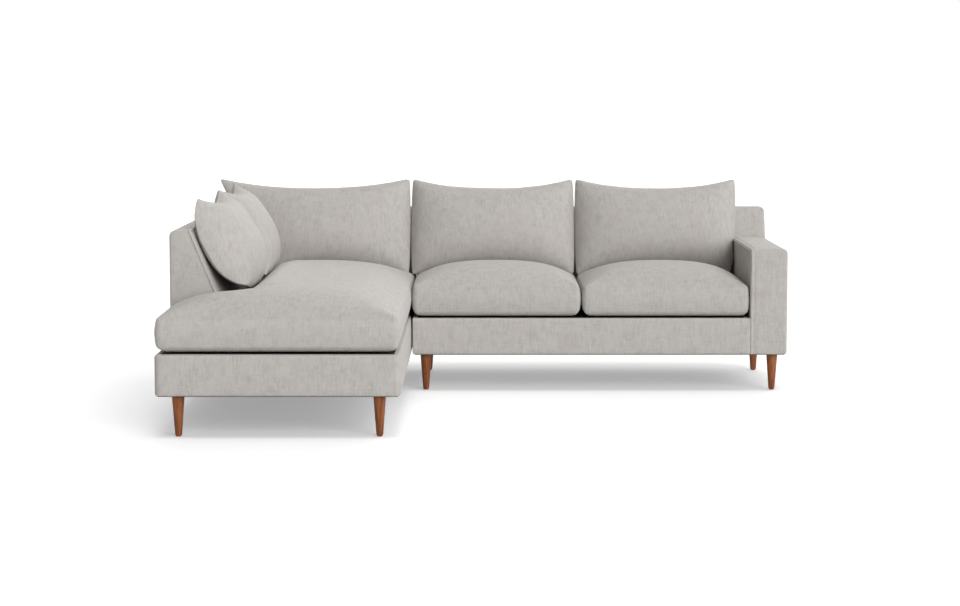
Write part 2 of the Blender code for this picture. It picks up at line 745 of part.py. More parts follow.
def add_dust_covers():
    edge = DUST_COVER_INSET
    legs = leg_places()
    plans = {
        "bumper_dust_cover": (BUMPER, (-BUMPER_WIDTH, -BUMPER_REACH), (BUMPER_RIGHT, SOFA_DEPTH)),
        "sofa_dust_cover": (SOFA, (SOFA_LEFT, 0.0), (SOFA_WIDTH, SOFA_DEPTH)),
    }
    for name, (module, low, high) in plans.items():
        outline = rectangle((low[0] + edge, low[1] + edge), (high[0] - edge, high[1] - edge))
        holes = [bolt_hole(leg) for leg, (owner, _, _) in legs.items() if owner is module]
        sheet = board(name, [outline, *holes], DUST_COVER, DUST_CLOTH, module)
        sheet.location.z = LEG_HEIGHT + CLEARANCE + DUST_COVER / 2


def clip_outline(face, side, plate, flange_end):
    """Bent strip: a plate on a module's side, jogged out to a flange that hooks behind the other clip."""
    sheet = CLIP_SHEET
    near = face + side * CLEARANCE
    slack = (MODULE_GAP - 2 * sheet) / 3
    far = face + side * (MODULE_GAP - slack)
    jog = plate[1]
    turn = math.copysign(sheet, flange_end - jog)
    return [
        (near, plate[0]),
        (near + side * sheet, plate[0]),
        (near + side * sheet, jog - turn),
        (far, jog - turn),
        (far, flange_end),
        (far - side * sheet, flange_end),
        (far - side * sheet, jog),
        (near, jog),
    ]


def add_clips():
    """Two alike clips, one on each module: the sofa's drops behind the bumper's and lifts out again."""
    base = CLIP_HEIGHT
    overlap = base + CLIP_PLATE + CLIP_FLANGE
    flange_play = 2 * CLEARANCE
    catch = clip_outline(BUMPER_RIGHT, 1, (base, base + CLIP_PLATE), overlap - flange_play)
    hook = clip_outline(SOFA_LEFT, -1, (overlap + CLIP_PLATE, overlap), base + CLIP_PLATE + flange_play)
    for name, outline, module in (("bumper_clip", catch, BUMPER), ("sofa_clip", hook, SOFA)):
        clip = board(name, [outline], CLIP_LENGTH, SPRING_STEEL, module)
        clip.rotation_euler = (math.pi / 2, 0.0, 0.0)
        clip.location.y = CLIP_SETBACK


def lattice(x_lines, y_lines, levels, keep=None):
    """A slab of quads on chosen lines, raised through levels, as the cage of a soft form."""
    columns = len(x_lines) - 1
    rows = len(y_lines) - 1
    form = bmesh.new()
    bmesh.ops.create_grid(form, x_segments=columns, y_segments=rows, size=0.5)
    for vert in form.verts:
        column = round((vert.co.x + 0.5) * columns)
        row = round((vert.co.y + 0.5) * rows)
        vert.co = (x_lines[column], y_lines[row], levels[0])
    if keep is not None:
        outside = [face for face in form.faces if not keep(face.calc_center_median())]
        bmesh.ops.delete(form, geom=outside, context="FACES")
    floor = list(form.faces)
    top = floor
    for lower, upper in zip(levels, levels[1:]):
        raised = bmesh.ops.extrude_face_region(form, geom=top, use_keep_orig=True)
        verts = [item for item in raised["geom"] if isinstance(item, bmesh.types.BMVert)]
        bmesh.ops.translate(form, verts=verts, vec=(0.0, 0.0, upper - lower))
        if top is not floor:
            bmesh.ops.delete(form, geom=top, context="FACES")
        top = [item for item in raised["geom"] if isinstance(item, bmesh.types.BMFace)]
    bmesh.ops.recalc_face_normals(form, faces=form.faces)
    return form


def edge_lines(low, high, inner_count, loop=SEAT_EDGE_LOOP):
    """Lines across a cushion: one close to each edge and an even spread between."""
    inner = [low + loop + (high - low - 2 * loop) * step / inner_count for step in range(inner_count + 1)]
    return [low, *inner, high]


def soft_node(name, form, module):
    node = add_node(name, mesh_of(form, name), CUSHION_FABRIC, module)
    node.data.shade_smooth()
    stuffing = node.modifiers.new("stuffing", "SUBSURF")
    stuffing.levels = 1
    stuffing.render_levels = 1
    return node


def box_edge_distance(x, y, low, high):
    return min(x - low[0], high[0] - x, y - low[1], high[1] - y)


def seat_crown(inside):
    """Rise of a seat cushion's top over its rim, at a distance in from its outline."""
    share = min(max(inside, 0.0) / SEAT_CROWN_REACH, 1.0)
    return SEAT_CROWN * (1 - (1 - share) ** SEAT_CROWN_FALL)


def shape_seat(form, inside):
    """Crown the top of a seat slab."""
    rim = max(vert.co.z for vert in form.verts)
    for vert in form.verts:
        if vert.co.z > rim - CLEARANCE:
            vert.co.z += seat_crown(inside(vert.co.x, vert.co.y))


def seat_levels():
    low = BASE_TOP + SEAT_REST
    return [low, low + SEAT_LOWER_LOOP, low + SEAT_RIM - SEAT_UPPER_LOOP, low + SEAT_RIM]


def seat_bays():
    """Left and right edges of the two sofa seat cushions."""
    middle = (SOFA_LEFT + ARM_INNER) / 2
    gap = CUSHION_GAP / 2
    return {"left": (SOFA_LEFT, middle - gap), "right": (middle + gap, ARM_INNER - CUSHION_GAP)}


def add_sofa_seat_cushions():
    front = CUSHION_GAP
    rear = BACK_FOOT - CUSHION_GAP
    for place, (left, right) in seat_bays().items():
        form = lattice(edge_lines(left, right, 4), edge_lines(front, rear, 4), seat_levels())
        shape_seat(form, lambda x, y: box_edge_distance(x, y, (left, front), (right, rear)))
        soft_node(f"sofa_seat_cushion_{place}", form, SOFA)


def add_bumper_seat_cushion():
    """One deep cushion, cut back on its left side where the side back stands."""
    left = -BUMPER_WIDTH
    right = BUMPER_RIGHT
    inner = SIDE_FOOT + CUSHION_GAP
    front = -BUMPER_REACH
    step = SIDE_BACK_END - CUSHION_GAP
    rear = BACK_FOOT - CUSHION_GAP
    loop = SEAT_EDGE_LOOP
    x_lines = [left, left + loop, *edge_lines(inner, right, 4)]
    y_lines = [*edge_lines(front, step, 2)[:-1], step, step + loop]
    y_lines += edge_lines(step + loop, rear, 5)[2:]

    def keep(place):
        return place.x > inner or place.y < step

    def inside(x, y):
        notch = math.hypot(max(x - inner, 0.0), max(step - y, 0.0))
        free = box_edge_distance(x, y, (left, front), (right, rear))
        return min(free, notch * SEAT_CROWN_REACH / SEAT_NOTCH_REACH)

    form = lattice(x_lines, y_lines, seat_levels(), keep)
    shape_seat(form, inside)
    for vert in form.verts:
        if math.hypot(vert.co.x - inner, vert.co.y - step) < CLEARANCE:
            vert.co += Vector((NOTCH_EASE, -NOTCH_EASE, 0.0))
    soft_node("bumper_seat_cushion", form, BUMPER)


def pillow(name, width, height, depths, module, cut_left=0.0, cut_right=0.0, thin_left=1.0):
    """A knife-edged cushion: full in front, flat behind, drawn in between its pointed corners.

    depths are its fullness in front and behind, and how far it slumps back between its top and bottom edges.
    cut_left and cut_right move its lower corners in, and thin_left is how full its left half stays.
    """
    front, rear, sag = depths
    lines = [math.sin(math.pi * (step / PILLOW_BAYS - 0.5)) for step in range(PILLOW_BAYS + 1)]
    form = lattice(lines, lines, [-1.0, 1.0])
    for vert in form.verts:
        u, v, side = vert.co
        swell = ((1 - abs(u) ** PILLOW_FALL) * (1 - abs(v) ** PILLOW_FALL)) ** PILLOW_FULLNESS
        if u < 0:
            swell *= 1 + (thin_left - 1) * abs(u)
        if side > 0:
            depth = PILLOW_SEAM + front * swell
        else:
            depth = -PILLOW_SEAM - rear * min(1.0, PILLOW_FLATNESS * swell)
        across = u * (width / 2 - PILLOW_WAIST * (1 - v * v))
        across += (cut_left * max(-u, 0.0) - cut_right * max(u, 0.0)) * (1 - v) / 2
        upward = v * (height / 2 - PILLOW_DIP * (1 - abs(u) ** PILLOW_DIP_FALL))
        vert.co = (across, upward, depth - sag * (1 - v * v))
    return soft_node(name, form, module)


def world_tree(node):
    """Surface of a finished piece in world space, with its corner points."""
    evaluated = node.evaluated_get(bpy.context.evaluated_depsgraph_get())
    mesh = bpy.data.meshes.new_from_object(evaluated)
    points = [node.matrix_world @ vert.co for vert in mesh.vertices]
    faces = [tuple(face.vertices) for face in mesh.polygons]
    bpy.data.meshes.remove(mesh)
    return points, BVHTree.FromPolygons(points, faces)


def settle(node, direction, support):
    """Move a loose cushion along a direction until it rests on its support."""
    bpy.context.view_layer.update()
    direction = Vector(direction).normalized()
    points, tree = world_tree(node)
    support_points, support_tree = world_tree(bpy.data.objects[support])
    hits = [support_tree.ray_cast(point, direction)[3] for point in points]
    hits += [tree.ray_cast(point, -direction)[3] for point in support_points]
    node.location += direction * (min(hit for hit in hits if hit is not None) - SEAT_REST)
    bpy.context.view_layer.update()


def back_cushion(name, left, right, seat, module, cut_left=0.0, cut_right=0.0, thin_left=1.0):
    """Lean a cushion flat on a rear back and slide it down until it stands on the seat."""
    depths = (BACK_CUSHION_FRONT, BACK_CUSHION_REAR, 0.0)
    node = pillow(name, right - left, BACK_CUSHION_HEIGHT, depths, module, cut_left, cut_right, thin_left)
    node.rotation_euler = (math.pi / 2 - BACK_RAKE, 0.0, 0.0)
    height = BASE_TOP + SEAT_RIM + SEAT_CROWN + BACK_CUSHION_HEIGHT
    setback = BACK_CUSHION_REAR + PILLOW_SEAM + SEAT_REST
    raked = BACK_TOP_DEPTH + (BACK_TOP - height) * math.tan(BACK_RAKE) + setback / math.cos(BACK_RAKE)
    node.location = ((left + right) / 2, SOFA_DEPTH - raked, height)
    settle(node, (0.0, -math.sin(BACK_RAKE), -math.cos(BACK_RAKE)), seat)
    return node


def add_back_cushions():
    gap = CUSHION_GAP
    middle = (SOFA_LEFT + ARM_INNER) / 2
    bays = {
        "left": (middle - gap - BACK_CUSHION_WIDTH, middle - gap),
        "right": (middle + gap, middle + gap + BACK_CUSHION_WIDTH),
    }
    tapers = {"left": 0.0, "right": ARM_CUSHION_TAPER}
    for place, (left, right) in bays.items():
        name = f"sofa_back_cushion_{place}"
        back_cushion(name, left, right, f"sofa_seat_cushion_{place}", SOFA, cut_right=tapers[place])
    corner = -BUMPER_WIDTH + CORNER_CUSHION_INSET
    cut_left = BACK_TOP_DEPTH + (BACK_RISE - SEAT_RIM) * math.tan(BACK_RAKE) + CORNER_CUSHION_EASE
    back_cushion("bumper_back_cushion", corner, bays["left"][0] - 2 * gap, "bumper_seat_cushion",
                 BUMPER, cut_left, thin_left=CORNER_CUSHION_FILL)


def side_cushion(name, front, rear):
    """Lean a cushion on the top edge of the side back, with its foot out on the seat."""
    depths = (SIDE_CUSHION_FRONT, SIDE_CUSHION_REAR, SIDE_CUSHION_SAG)
    node = pillow(name, rear - front, SIDE_CUSHION_HEIGHT, depths, BUMPER)
    node.rotation_euler = (math.pi / 2 - SIDE_CUSHION_LEAN, 0.0, math.pi / 2)
    clear_height = BACK_TOP + SIDE_CUSHION_HEIGHT
    node.location = (SIDE_FOOT, (front + rear) / 2, clear_height)
    for _ in range(SETTLE_ROUNDS):
        node.location.z = clear_height
        settle(node, (0.0, 0.0, -1.0), "bumper_seat_cushion")
        node.location.x = 0.0
        settle(node, (-1.0, 0.0, 0.0), "bumper_side_back_cover")
    return node


def add_side_cushions():
    front = SIDE_BACK_END + SIDE_CUSHION_SETBACK
    middle = front + SIDE_CUSHION_FRONT_LENGTH
    side_cushion("bumper_side_cushion_front", front, middle)
    rear_front = middle + CUSHION_GAP
    side_cushion("bumper_side_cushion_rear", rear_front, rear_front + SIDE_CUSHION_REAR_LENGTH)


add_base_covers()
add_back_and_arm_covers()
add_legs()
add_sofa_base_frame()
add_bumper_base_frame()
add_rear_back_frames()
add_side_back_frame()
add_arm_frame()
add_springs_and_pads()
add_dust_covers()
add_clips()
add_sofa_seat_cushions()
add_bumper_seat_cushion()
add_back_cushions()
add_side_cushions()
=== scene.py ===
"""Looks of a bumper sectional sofa: sewn covers, stuffed cushions, turned legs, finishes and a plain studio.

Laid out as an add-on and run as a script. Pieces are drawn in metres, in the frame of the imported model, and
each one rides on the body that carries it.
"""

import math

import bmesh
import bpy
from bpy.props import FloatProperty, FloatVectorProperty, IntProperty, PointerProperty
from bpy.types import Operator, Panel, PropertyGroup
from mathutils import Euler, Matrix, Vector, noise
from mathutils.bvhtree import BVHTree
from mathutils.kdtree import KDTree


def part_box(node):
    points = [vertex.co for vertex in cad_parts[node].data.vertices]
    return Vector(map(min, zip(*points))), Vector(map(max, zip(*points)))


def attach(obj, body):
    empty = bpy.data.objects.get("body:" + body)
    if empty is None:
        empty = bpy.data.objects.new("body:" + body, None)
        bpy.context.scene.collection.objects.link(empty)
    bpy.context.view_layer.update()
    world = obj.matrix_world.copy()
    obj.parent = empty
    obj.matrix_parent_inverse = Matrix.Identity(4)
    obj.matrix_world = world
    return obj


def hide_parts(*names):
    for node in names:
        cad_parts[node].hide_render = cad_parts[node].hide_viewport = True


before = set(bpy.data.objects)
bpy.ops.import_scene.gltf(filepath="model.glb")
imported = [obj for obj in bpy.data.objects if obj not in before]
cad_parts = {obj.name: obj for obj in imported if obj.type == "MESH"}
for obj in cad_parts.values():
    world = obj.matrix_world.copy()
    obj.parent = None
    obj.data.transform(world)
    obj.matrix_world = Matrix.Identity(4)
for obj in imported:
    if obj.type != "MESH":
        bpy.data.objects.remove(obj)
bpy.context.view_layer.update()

bl_info = {
    "name": "Bumper Sectional Sofa",
    "version": (1, 0, 0),
    "blender": (4, 5, 0),
    "location": "View3D > Sidebar > Sofa",
    "description": "Dresses the frame of a bumper sectional sofa with covers, cushions, legs and finishes",
    "category": "Add Mesh",
}

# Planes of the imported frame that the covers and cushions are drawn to
SOFA_BASE_LOW, SOFA_BASE_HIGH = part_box("sofa_base_cover")
BUMPER_BASE_LOW, BUMPER_BASE_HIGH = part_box("bumper_base_cover")
SOFA_BACK_LOW, SOFA_BACK_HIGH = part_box("sofa_back_cover")
BUMPER_BACK_LOW, BUMPER_BACK_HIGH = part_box("bumper_back_cover")
SIDE_BACK_LOW, SIDE_BACK_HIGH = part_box("bumper_side_back_cover")
ARM_LOW, ARM_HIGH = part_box("sofa_arm_cover")
BUMPER_SEAT_LOW, BUMPER_SEAT_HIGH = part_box("bumper_seat_cushion")
BASE_BOTTOM = SOFA_BASE_LOW.z
BASE_TOP = SOFA_BASE_HIGH.z
BACK_TOP = SOFA_BACK_HIGH.z
BACK_FOOT = SOFA_BACK_LOW.y
REAR = SOFA_BACK_HIGH.y

# Distances within which places count as one
TOUCH = 0.0005
HAIR = TOUCH / 10
MERGED = 0.00001
TINY = 0.000001

# Least cosine between a panel and the way that it faces
FACING = 0.97

# Distances from an edge of a seat cushion at which its mesh is cut more closely
EDGE_CUTS = (0.004, 0.009, 0.015, 0.022)

# Filling of a cushion: frames that it is blown up for, and its pressure
FILLING_FRAMES = 20
FILLING_PRESSURE = 4.0

# Seam of a knife-edged cushion: points along each side, reach that is held still, least step along its ridge
SEAM_POINTS = 60
SEAM_HOLD = 0.012
SEAM_STEP = 0.004

# How far off a support is looked for, and how deep a cushion may reach into it
SUPPORT_SEARCH = 0.06
SUPPORT_DEPTH = 0.05

# Cuts of a cushion whose corners are whole, and a cushion that isn't moved
NO_CUTS = (0.0, 0.0, 0.0, 0.0)
UNMOVED = (0.0, 0.0, 0.0)

# Shares of a leg's softening: its middle facet, and the flare of the foot
FACET = 0.3
FLARE = 0.4

WHITE = (1.0, 1.0, 1.0, 1.0)

FRONTWARD = Vector((0.0, -1.0, 0.0))
REARWARD = Vector((0.0, 1.0, 0.0))
LEFTWARD = Vector((-1.0, 0.0, 0.0))
RIGHTWARD = Vector((1.0, 0.0, 0.0))
UPWARD = Vector((0.0, 0.0, 1.0))

# Outer faces of the covers, which cushions are pressed clear of
CONTACTS = {}

# Broad lights: degrees round to the right from the front, degrees up, and degrees that each one is wide
LIGHTS = {
    "key": (30.0, 18.0, 40.0),
    "overhead": (20.0, 80.0, 20.0),
    "side": (100.0, 45.0, 90.0),
    "rear": (170.0, 30.0, 60.0),
}


def length(name, description, default):
    return FloatProperty(name=name, description=description, default=default, unit="LENGTH", precision=4)


def share(name, description, default):
    return FloatProperty(name=name, description=description, default=default, subtype="FACTOR")


def number(name, description, default):
    return FloatProperty(name=name, description=description, default=default)


def turn(name, description, degrees):
    return FloatProperty(name=name, description=description, default=math.radians(degrees), subtype="ANGLE")


def count(name, description, default):
    return IntProperty(name=name, description=description, default=default, min=1)


def colour(name, description, default):
    return FloatVectorProperty(name=name, description=description, default=default, subtype="COLOR", size=3)


class CoverSizes(PropertyGroup):
    """Sizes of the sewn covers on the bases, backs and arm."""

    back_top_depth: length("Back top depth", "Depth of a back along its top", 0.075)
    edge_round: length("Corner round", "Radius of the free corners", 0.020)
    top_round: length("Top round", "Radius along the tops of the bases and backs", 0.012)
    front_round: length("Front round", "Radius round the front ends of arm and side back", 0.010)
    welted_round: length("Welted round", "Radius under a welt", 0.005)
    hem_round: length("Hem round", "Radius where a cover turns under", 0.010)
    join_round: length("Join round", "Radius where two covers butt", 0.003)
    round_steps: count("Round steps", "Faces across a rounded edge", 5)
    hem_width: length("Hem width", "Fabric turned under and stapled", 0.016)
    # The lining inside this border is dark dust cloth: a real deck lining, and painted shade in the slot
    # under the seat cushions
    deck_border: length("Deck border", "Fabric that shows round the lining under the seat cushions", 0.022)
    skin: length("Skin", "Thickness of fabric and backing", 0.003)
    swell: length("Swell", "How far the wadding pushes a flat panel out", 0.0024)
    swell_reach: length("Swell reach", "Distance from an edge over which a panel fills out", 0.085)
    ripple: length("Ripple", "Unevenness of the wadding", 0.0007)
    ripple_size: length("Ripple size", "Distance from one soft dip to the next", 0.16)
    slice: length("Slice", "Spacing of the cuts that let a panel swell", 0.032)
    welt: length("Welt", "Radius of the sewn welts", 0.0040)
    welt_sink: length("Welt sink", "How far a welt's middle lies inside the edge", 0.0006)
    welt_drop: length("Welt drop", "How far the arm's welt lies in from the edges of its inner panel", 0.009)
    seam: length("Seam", "Radius of a plain seam's ridge", 0.0013)
    border: length("Border", "Width of the inner panel that shows round the arm", 0.013)
    groove_half: length("Groove half", "Half of the width of a drawn-in seam", 0.0026)
    groove_depth: length("Groove depth", "Depth of a drawn-in seam", 0.0040)


class SeatSizes(PropertyGroup):
    """Sizes of the boxed seat cushions."""

    cell: length("Cell", "Spacing of the mesh on a cushion", 0.0128)
    corner: length("Corner", "Radius of a cushion's corners in plan", 0.019)
    snugness: length("Snugness", "How far a sofa cushion swells past its solid at its outer side", 0.003)
    lower_seam: length("Lower seam", "Height of the lower seam above the cushion's foot", 0.029)
    upper_seam: length("Upper seam", "Height of the upper seam above the cushion's foot", 0.134)
    tuck: length("Tuck", "How far the underside slants in below the lower seam", 0.028)
    sole_lift: length("Sole lift", "Gap that the curled edge leaves over the base", 0.009)
    sole_reach: length("Sole reach", "Distance in from the edge where the underside lies flat", 0.150)
    pinch: length("Pinch", "How far the lower seam is drawn in", 0.0022)
    bulge: length("Bulge", "How far the boxing swells between its seams", 0.0045)
    crown: length("Crown", "Rise of the top over its upper seam", 0.0692)
    bumper_crown: length("Bumper crown", "Rise of the deep cushion's top over its upper seam", 0.0715)
    crown_reach: length("Crown reach", "Distance in from the edge where the crown is full", 0.300)
    bumper_reach: length("Bumper reach", "Distance in from the deep cushion's edge where it is full", 0.375)
    notch_reach: length("Notch reach", "Distance from the side back where the crown is full", 0.080)
    crown_fall: number("Crown fall", "How quickly the crown falls away towards the edge", 2.2)
    crown_power: number("Crown power", "How blunt the crown is at the edge", 0.75)
    shoulder: length("Shoulder", "Width of the soft turn on each side of the upper seam", 0.050)
    shoulder_rounds: count("Shoulder rounds", "How often the turn is smoothed", 12)
    seam: length("Seam", "Radius of a seam's ridge", 0.0009)
    seam_strip: length("Seam strip", "Height of the strip that is sewn in over the lower seam", 0.003)
    cap: length("Cap", "Furthest that the filling pushes a point", 0.010)


class PillowSizes(PropertyGroup):
    """Sizes of the knife-edged back and side cushions."""

    bays: count("Bays", "Bays across the cage of a cushion", 9)
    back_width: length("Back cushion width", "Width of a back cushion's cage", 0.706)
    corner_width: length("Corner cushion width", "Width of the bumper back cushion's cage", 0.843)
    back_height: length("Back cushion height", "Height of a back cushion's cage", 0.449)
    side_height: length("Side cushion height", "Height of a side cushion's cage", 0.4080)
    front_length: length("Front side cushion", "Length of the front side cushion's cage", 0.686)
    rear_length: length("Rear side cushion", "Length of the rear side cushion's cage", 0.596)
    back_front: length("Back cushion front", "Fullness of a back cushion's face", 0.115)
    back_rear: length("Back cushion rear", "Fullness of a back cushion where it leans on the back", 0.052)
    side_front: length("Side cushion front", "Fullness of a side cushion's face", 0.1630)
    side_rear: length("Side cushion rear", "Fullness of a side cushion behind", 0.0120)
    side_sag: length("Side cushion sag", "How far a side cushion slumps back between its edges", 0.0645)
    sag_skew: share("Sag skew", "How much more the upper half slumps", 0.42)
    foot_sag: length("Foot sag", "How much further the lower half of a side cushion slumps", 0.008)
    rear_fill: number("Rear fill", "How soon a cushion is full behind, where it lies flat", 2.6)
    seam_half: length("Seam half", "Half of the thickness at the seam", 0.004)
    tip_reach: length("Tip reach", "How far the tips of a back cushion stick out", 0.004)
    tip_round: length("Tip round", "How far the tips of a side cushion are drawn in", 0.007)
    foot_round: length("Foot round", "How far the lower tips of the front side cushion are drawn in", 0.030)
    tip_fall: number("Tip fall", "How close to a tip its shape changes", 7.0)
    foot_fall: number("Foot fall", "How close to a lower tip of a side cushion it draws in", 4.0)
    back_rise: length("Back rise", "How far the tips of a back cushion stand over its solid", 0.004)
    arm_shift: length("Arm shift", "How far the cushion beside the arm lies over to the left", 0.006)
    dip: length("Dip", "How far the top edge of a back cushion draws in", 0.050)
    side_dip: length("Side dip", "How far the top edge of a side cushion draws in", 0.055)
    back_foot_dip: length("Back foot dip", "How far the bottom edge of a back cushion draws in", 0.050)
    side_foot_dip: length("Side foot dip", "How far the bottom edge of a side cushion draws in", 0.008)
    fall: number("Fall", "How soon a cushion fills out from its edges", 3.0)
    power: number("Power", "How blunt the edges of a back cushion are", 0.55)
    side_fall: number("Side fall", "How soon a side cushion fills out from its top edge", 2.88)
    side_foot_fall: number("Side foot fall", "How soon its face fills out from the bottom edge", 1.80)
    side_end_fall: number("Side end fall", "How soon it fills out from its ends", 4.95)
    side_power: number("Side power", "How blunt the edges of a side cushion are", 0.69)
    dip_fall: number("Dip fall", "How soon the edges draw in beside the corners", 2.5)
    spread: length("Spread", "How far the sides swell out between the corners", 0.003)
    arm_taper: length("Arm taper", "How far the lower corner moves in beside the arm", 0.020)
    arm_corner: length("Arm corner", "How far the lower corner is rounded beside the arm", 0.020)
    corner_fall: number("Corner fall", "How late the rounding of that corner sets in", 9.0)
    corner_taper: length("Corner taper", "How far the lower corner moves in beside the side back", 0.2349)
    corner_fill: share("Corner fill", "Fullness of the end beside the side back", 0.55)
    rake: turn("Back rake", "Lean of a back cushion", 22.5)
    lean: turn("Side lean", "Lean of a side cushion", 28.40)
    seam: length("Seam", "Radius of the seam's ridge", 0.0021)
    slack: share("Slack", "Share of its depth that a cushion has before it is filled", 0.94)
    cap: length("Cap", "Furthest that the filling pushes a point", 0.014)
    gap: length("Gap", "Least distance from a cushion to what it rests on", 0.0025)
    ripple: length("Ripple", "Unevenness of the filling", 0.0022)
    ripple_size: length("Ripple size", "Distance from one soft dip to the next", 0.14)
    pucker: length("Pucker", "Depth of the gathers beside the seam", 0.0012)
    pucker_size: length("Pucker size", "Distance from one gather to the next", 0.020)
    pucker_reach: length("Pucker reach", "Distance from the seam where the gathers end", 0.035)


class LegSizes(PropertyGroup):
    """Sizes of the turned legs."""

    top: length("Top diameter", "Diameter below the base", 0.045)
    foot: length("Foot diameter", "Diameter above the glide", 0.024)
    neck: length("Neck", "Height of the straight stretch at the top", 0.010)
    glide: length("Glide diameter", "Diameter of the floor glide", 0.019)
    glide_height: length("Glide height", "Height of the floor glide", 0.004)
    bolt: length("Bolt diameter", "Diameter of the hanger bolt", 0.008)
    ease: length("Ease", "Softening of the turned edges", 0.0015)
    recess: length("Recess", "How far a leg stops short of its cover", 0.002)
    steps: count("Steps", "Faces round a leg", 48)


class Colours(PropertyGroup):
    """Colours of the finishes."""

    fabric_light: colour("Fabric light", "Raised yarns of the fabric", (0.555, 0.530, 0.503))
    fabric_dark: colour("Fabric dark", "Ground of the fabric", (0.419, 0.398, 0.376))
    fabric_warm: colour("Fabric warm", "Warm patches of the fabric", (0.487, 0.452, 0.424))
    leg_light: colour("Leg light", "Pale grain of the legs", (0.345, 0.116, 0.038))
    leg_dark: colour("Leg dark", "Dark grain of the legs", (0.150, 0.042, 0.013))
    frame_light: colour("Frame light", "Pale grain of the frame", (0.600, 0.440, 0.270))
    frame_dark: colour("Frame dark", "Dark grain of the frame", (0.440, 0.290, 0.160))
    steel_light: colour("Steel light", "Bright spring wire", (0.520, 0.530, 0.550))
    steel_dark: colour("Steel dark", "Oiled spring wire", (0.300, 0.300, 0.310))
    felt_light: colour("Felt light", "Pale fibres of the felt pad", (0.660, 0.640, 0.600))
    felt_dark: colour("Felt dark", "Grey fibres of the felt pad", (0.520, 0.500, 0.470))
    # The dust cloth also lines the decks, where its darkness is painted shade in the slot under the seat
    # cushions
    cloth_light: colour("Dust cloth light", "Fibres of the dust cover", (0.040, 0.040, 0.043))
    cloth_dark: colour("Dust cloth dark", "Ground of the dust cover", (0.014, 0.014, 0.016))


class StageSettings(PropertyGroup):
    """Camera, floor and light."""

    camera_place: FloatVectorProperty(
        name="Camera place",
        description="Where the camera stands",
        default=(-0.05, -9.1905, 1.275),
        subtype="TRANSLATION",
        unit="LENGTH",
    )
    camera_pitch: turn("Camera pitch", "How far the camera looks down", 5.54)
    lens: number("Lens", "Focal length in millimetres on a 36 mm sensor", 86.25)
    floor_colour: colour("Floor colour", "Colour of the floor", (0.80, 0.80, 0.80))
    floor_shown: colour("Floor shown", "Colour of the floor in the picture", (0.944, 0.944, 0.944))
    floor_glow: number("Floor glow", "How much the floor is lifted towards white in the picture", 0.327)
    ambient: number("Ambient", "Strength of the light from all round", 0.15)
    key: number("Key", "Strength of the light from the front right", 1.857)
    overhead: number("Overhead", "Strength of the light from above", 0.642)
    side: number("Side", "Strength of the light from the right", 0.645)
    rear: number("Rear", "Strength of the light from behind", 1.581)


def add_piece(name, form):
    """A new object from a finished form, at the origin."""
    mesh = bpy.data.meshes.new(name)
    form.to_mesh(mesh)
    form.free()
    piece = bpy.data.objects.new(name, mesh)
    bpy.context.scene.collection.objects.link(piece)
    return piece


def form_of(piece):
    form = bmesh.new()
    form.from_mesh(piece.data)
    return form


def store(form, piece):
    form.to_mesh(piece.data)
    form.free()
    piece.data.update()


def apply_modifiers(piece):
    """Keep the shape that the modifiers give, and drop them."""
    bpy.context.view_layer.update()
    shaped = piece.evaluated_get(bpy.context.evaluated_depsgraph_get())
    mesh = bpy.data.meshes.new_from_object(shaped)
    plain = piece.data
    piece.modifiers.clear()
    piece.data = mesh
    bpy.data.meshes.remove(plain)
    mesh.name = piece.name


def subdivide(piece, levels):
    smoothing = piece.modifiers.new("smoothing", "SUBSURF")
    smoothing.levels = levels
    smoothing.render_levels = levels
    apply_modifiers(piece)


def prism(outline, direction):
    """A solid swept straight from a flat outline."""
    form = bmesh.new()
    face = form.faces.new([form.verts.new(place) for place in outline])
    swept = bmesh.ops.extrude_face_region(form, geom=[face], use_keep_orig=True)
    moved = [item for item in swept["geom"] if isinstance(item, bmesh.types.BMVert)]
    bmesh.ops.translate(form, verts=moved, vec=direction)
    bmesh.ops.recalc_face_normals(form, faces=form.faces)
    return form


def rectangle(left, right, front, rear):
    """Corners of a plan, anticlockwise."""
    return [Vector(corner) for corner in ((left, front), (right, front), (right, rear), (left, rear))]


def cut(form, axis, value):
    """Cut a form right through on a plane square to an axis."""
    normal = Vector((0.0, 0.0, 0.0))
    normal[axis] = 1.0
    everything = form.verts[:] + form.edges[:] + form.faces[:]
    bmesh.ops.bisect_plane(form, geom=everything, plane_co=normal * value, plane_no=normal, dist=TINY)


def spread(low, high, spacing):
    """Even steps between two places, without the ends."""
    steps = max(1, round((high - low) / spacing))
    return [low + (high - low) * step / steps for step in range(1, steps)]


def tube(points, radius, closed):
    """A sewn ridge as a mesh: a round bead along a line of points."""
    curve = bpy.data.curves.new("bead", "CURVE")
    curve.dimensions = "3D"
    curve.bevel_depth = radius
    curve.bevel_resolution = 2
    curve.use_fill_caps = not closed
    spline = curve.splines.new("POLY")
    spline.points.add(len(points) - 1)
    for point, place in zip(spline.points, points):
        point.co = (*place, 1.0)
    spline.use_cyclic_u = closed
    bead = bpy.data.objects.new("bead", curve)
    bpy.context.scene.collection.objects.link(bead)
    bpy.context.view_layer.update()
    mesh = bpy.data.meshes.new_from_object(bead.evaluated_get(bpy.context.evaluated_depsgraph_get()))
    bpy.data.objects.remove(bead)
    bpy.data.curves.remove(curve)
    return mesh


def sew_on(piece, beads):
    """Join ridges to the piece that they are sewn into."""
    form = form_of(piece)
    for mesh in beads:
        form.from_mesh(mesh)
        bpy.data.meshes.remove(mesh)
    bmesh.ops.remove_doubles(form, verts=form.verts, dist=MERGED)
    store(form, piece)


def point_tree(points):
    """Points in a tree, for finding the nearest."""
    tree = KDTree(len(points))
    for index, point in enumerate(points):
        tree.insert(point, index)
    tree.balance()
    return tree


def surface(piece):
    """A piece's surface, for finding what lies near it."""
    form = form_of(piece)
    tree = BVHTree.FromBMesh(form)
    form.free()
    return tree


def finish_piece(piece, body, node, material):
    piece.data.shade_smooth()
    piece.data.materials.clear()
    piece.data.materials.append(material)
    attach(piece, body)
    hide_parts(node)


# Finishes


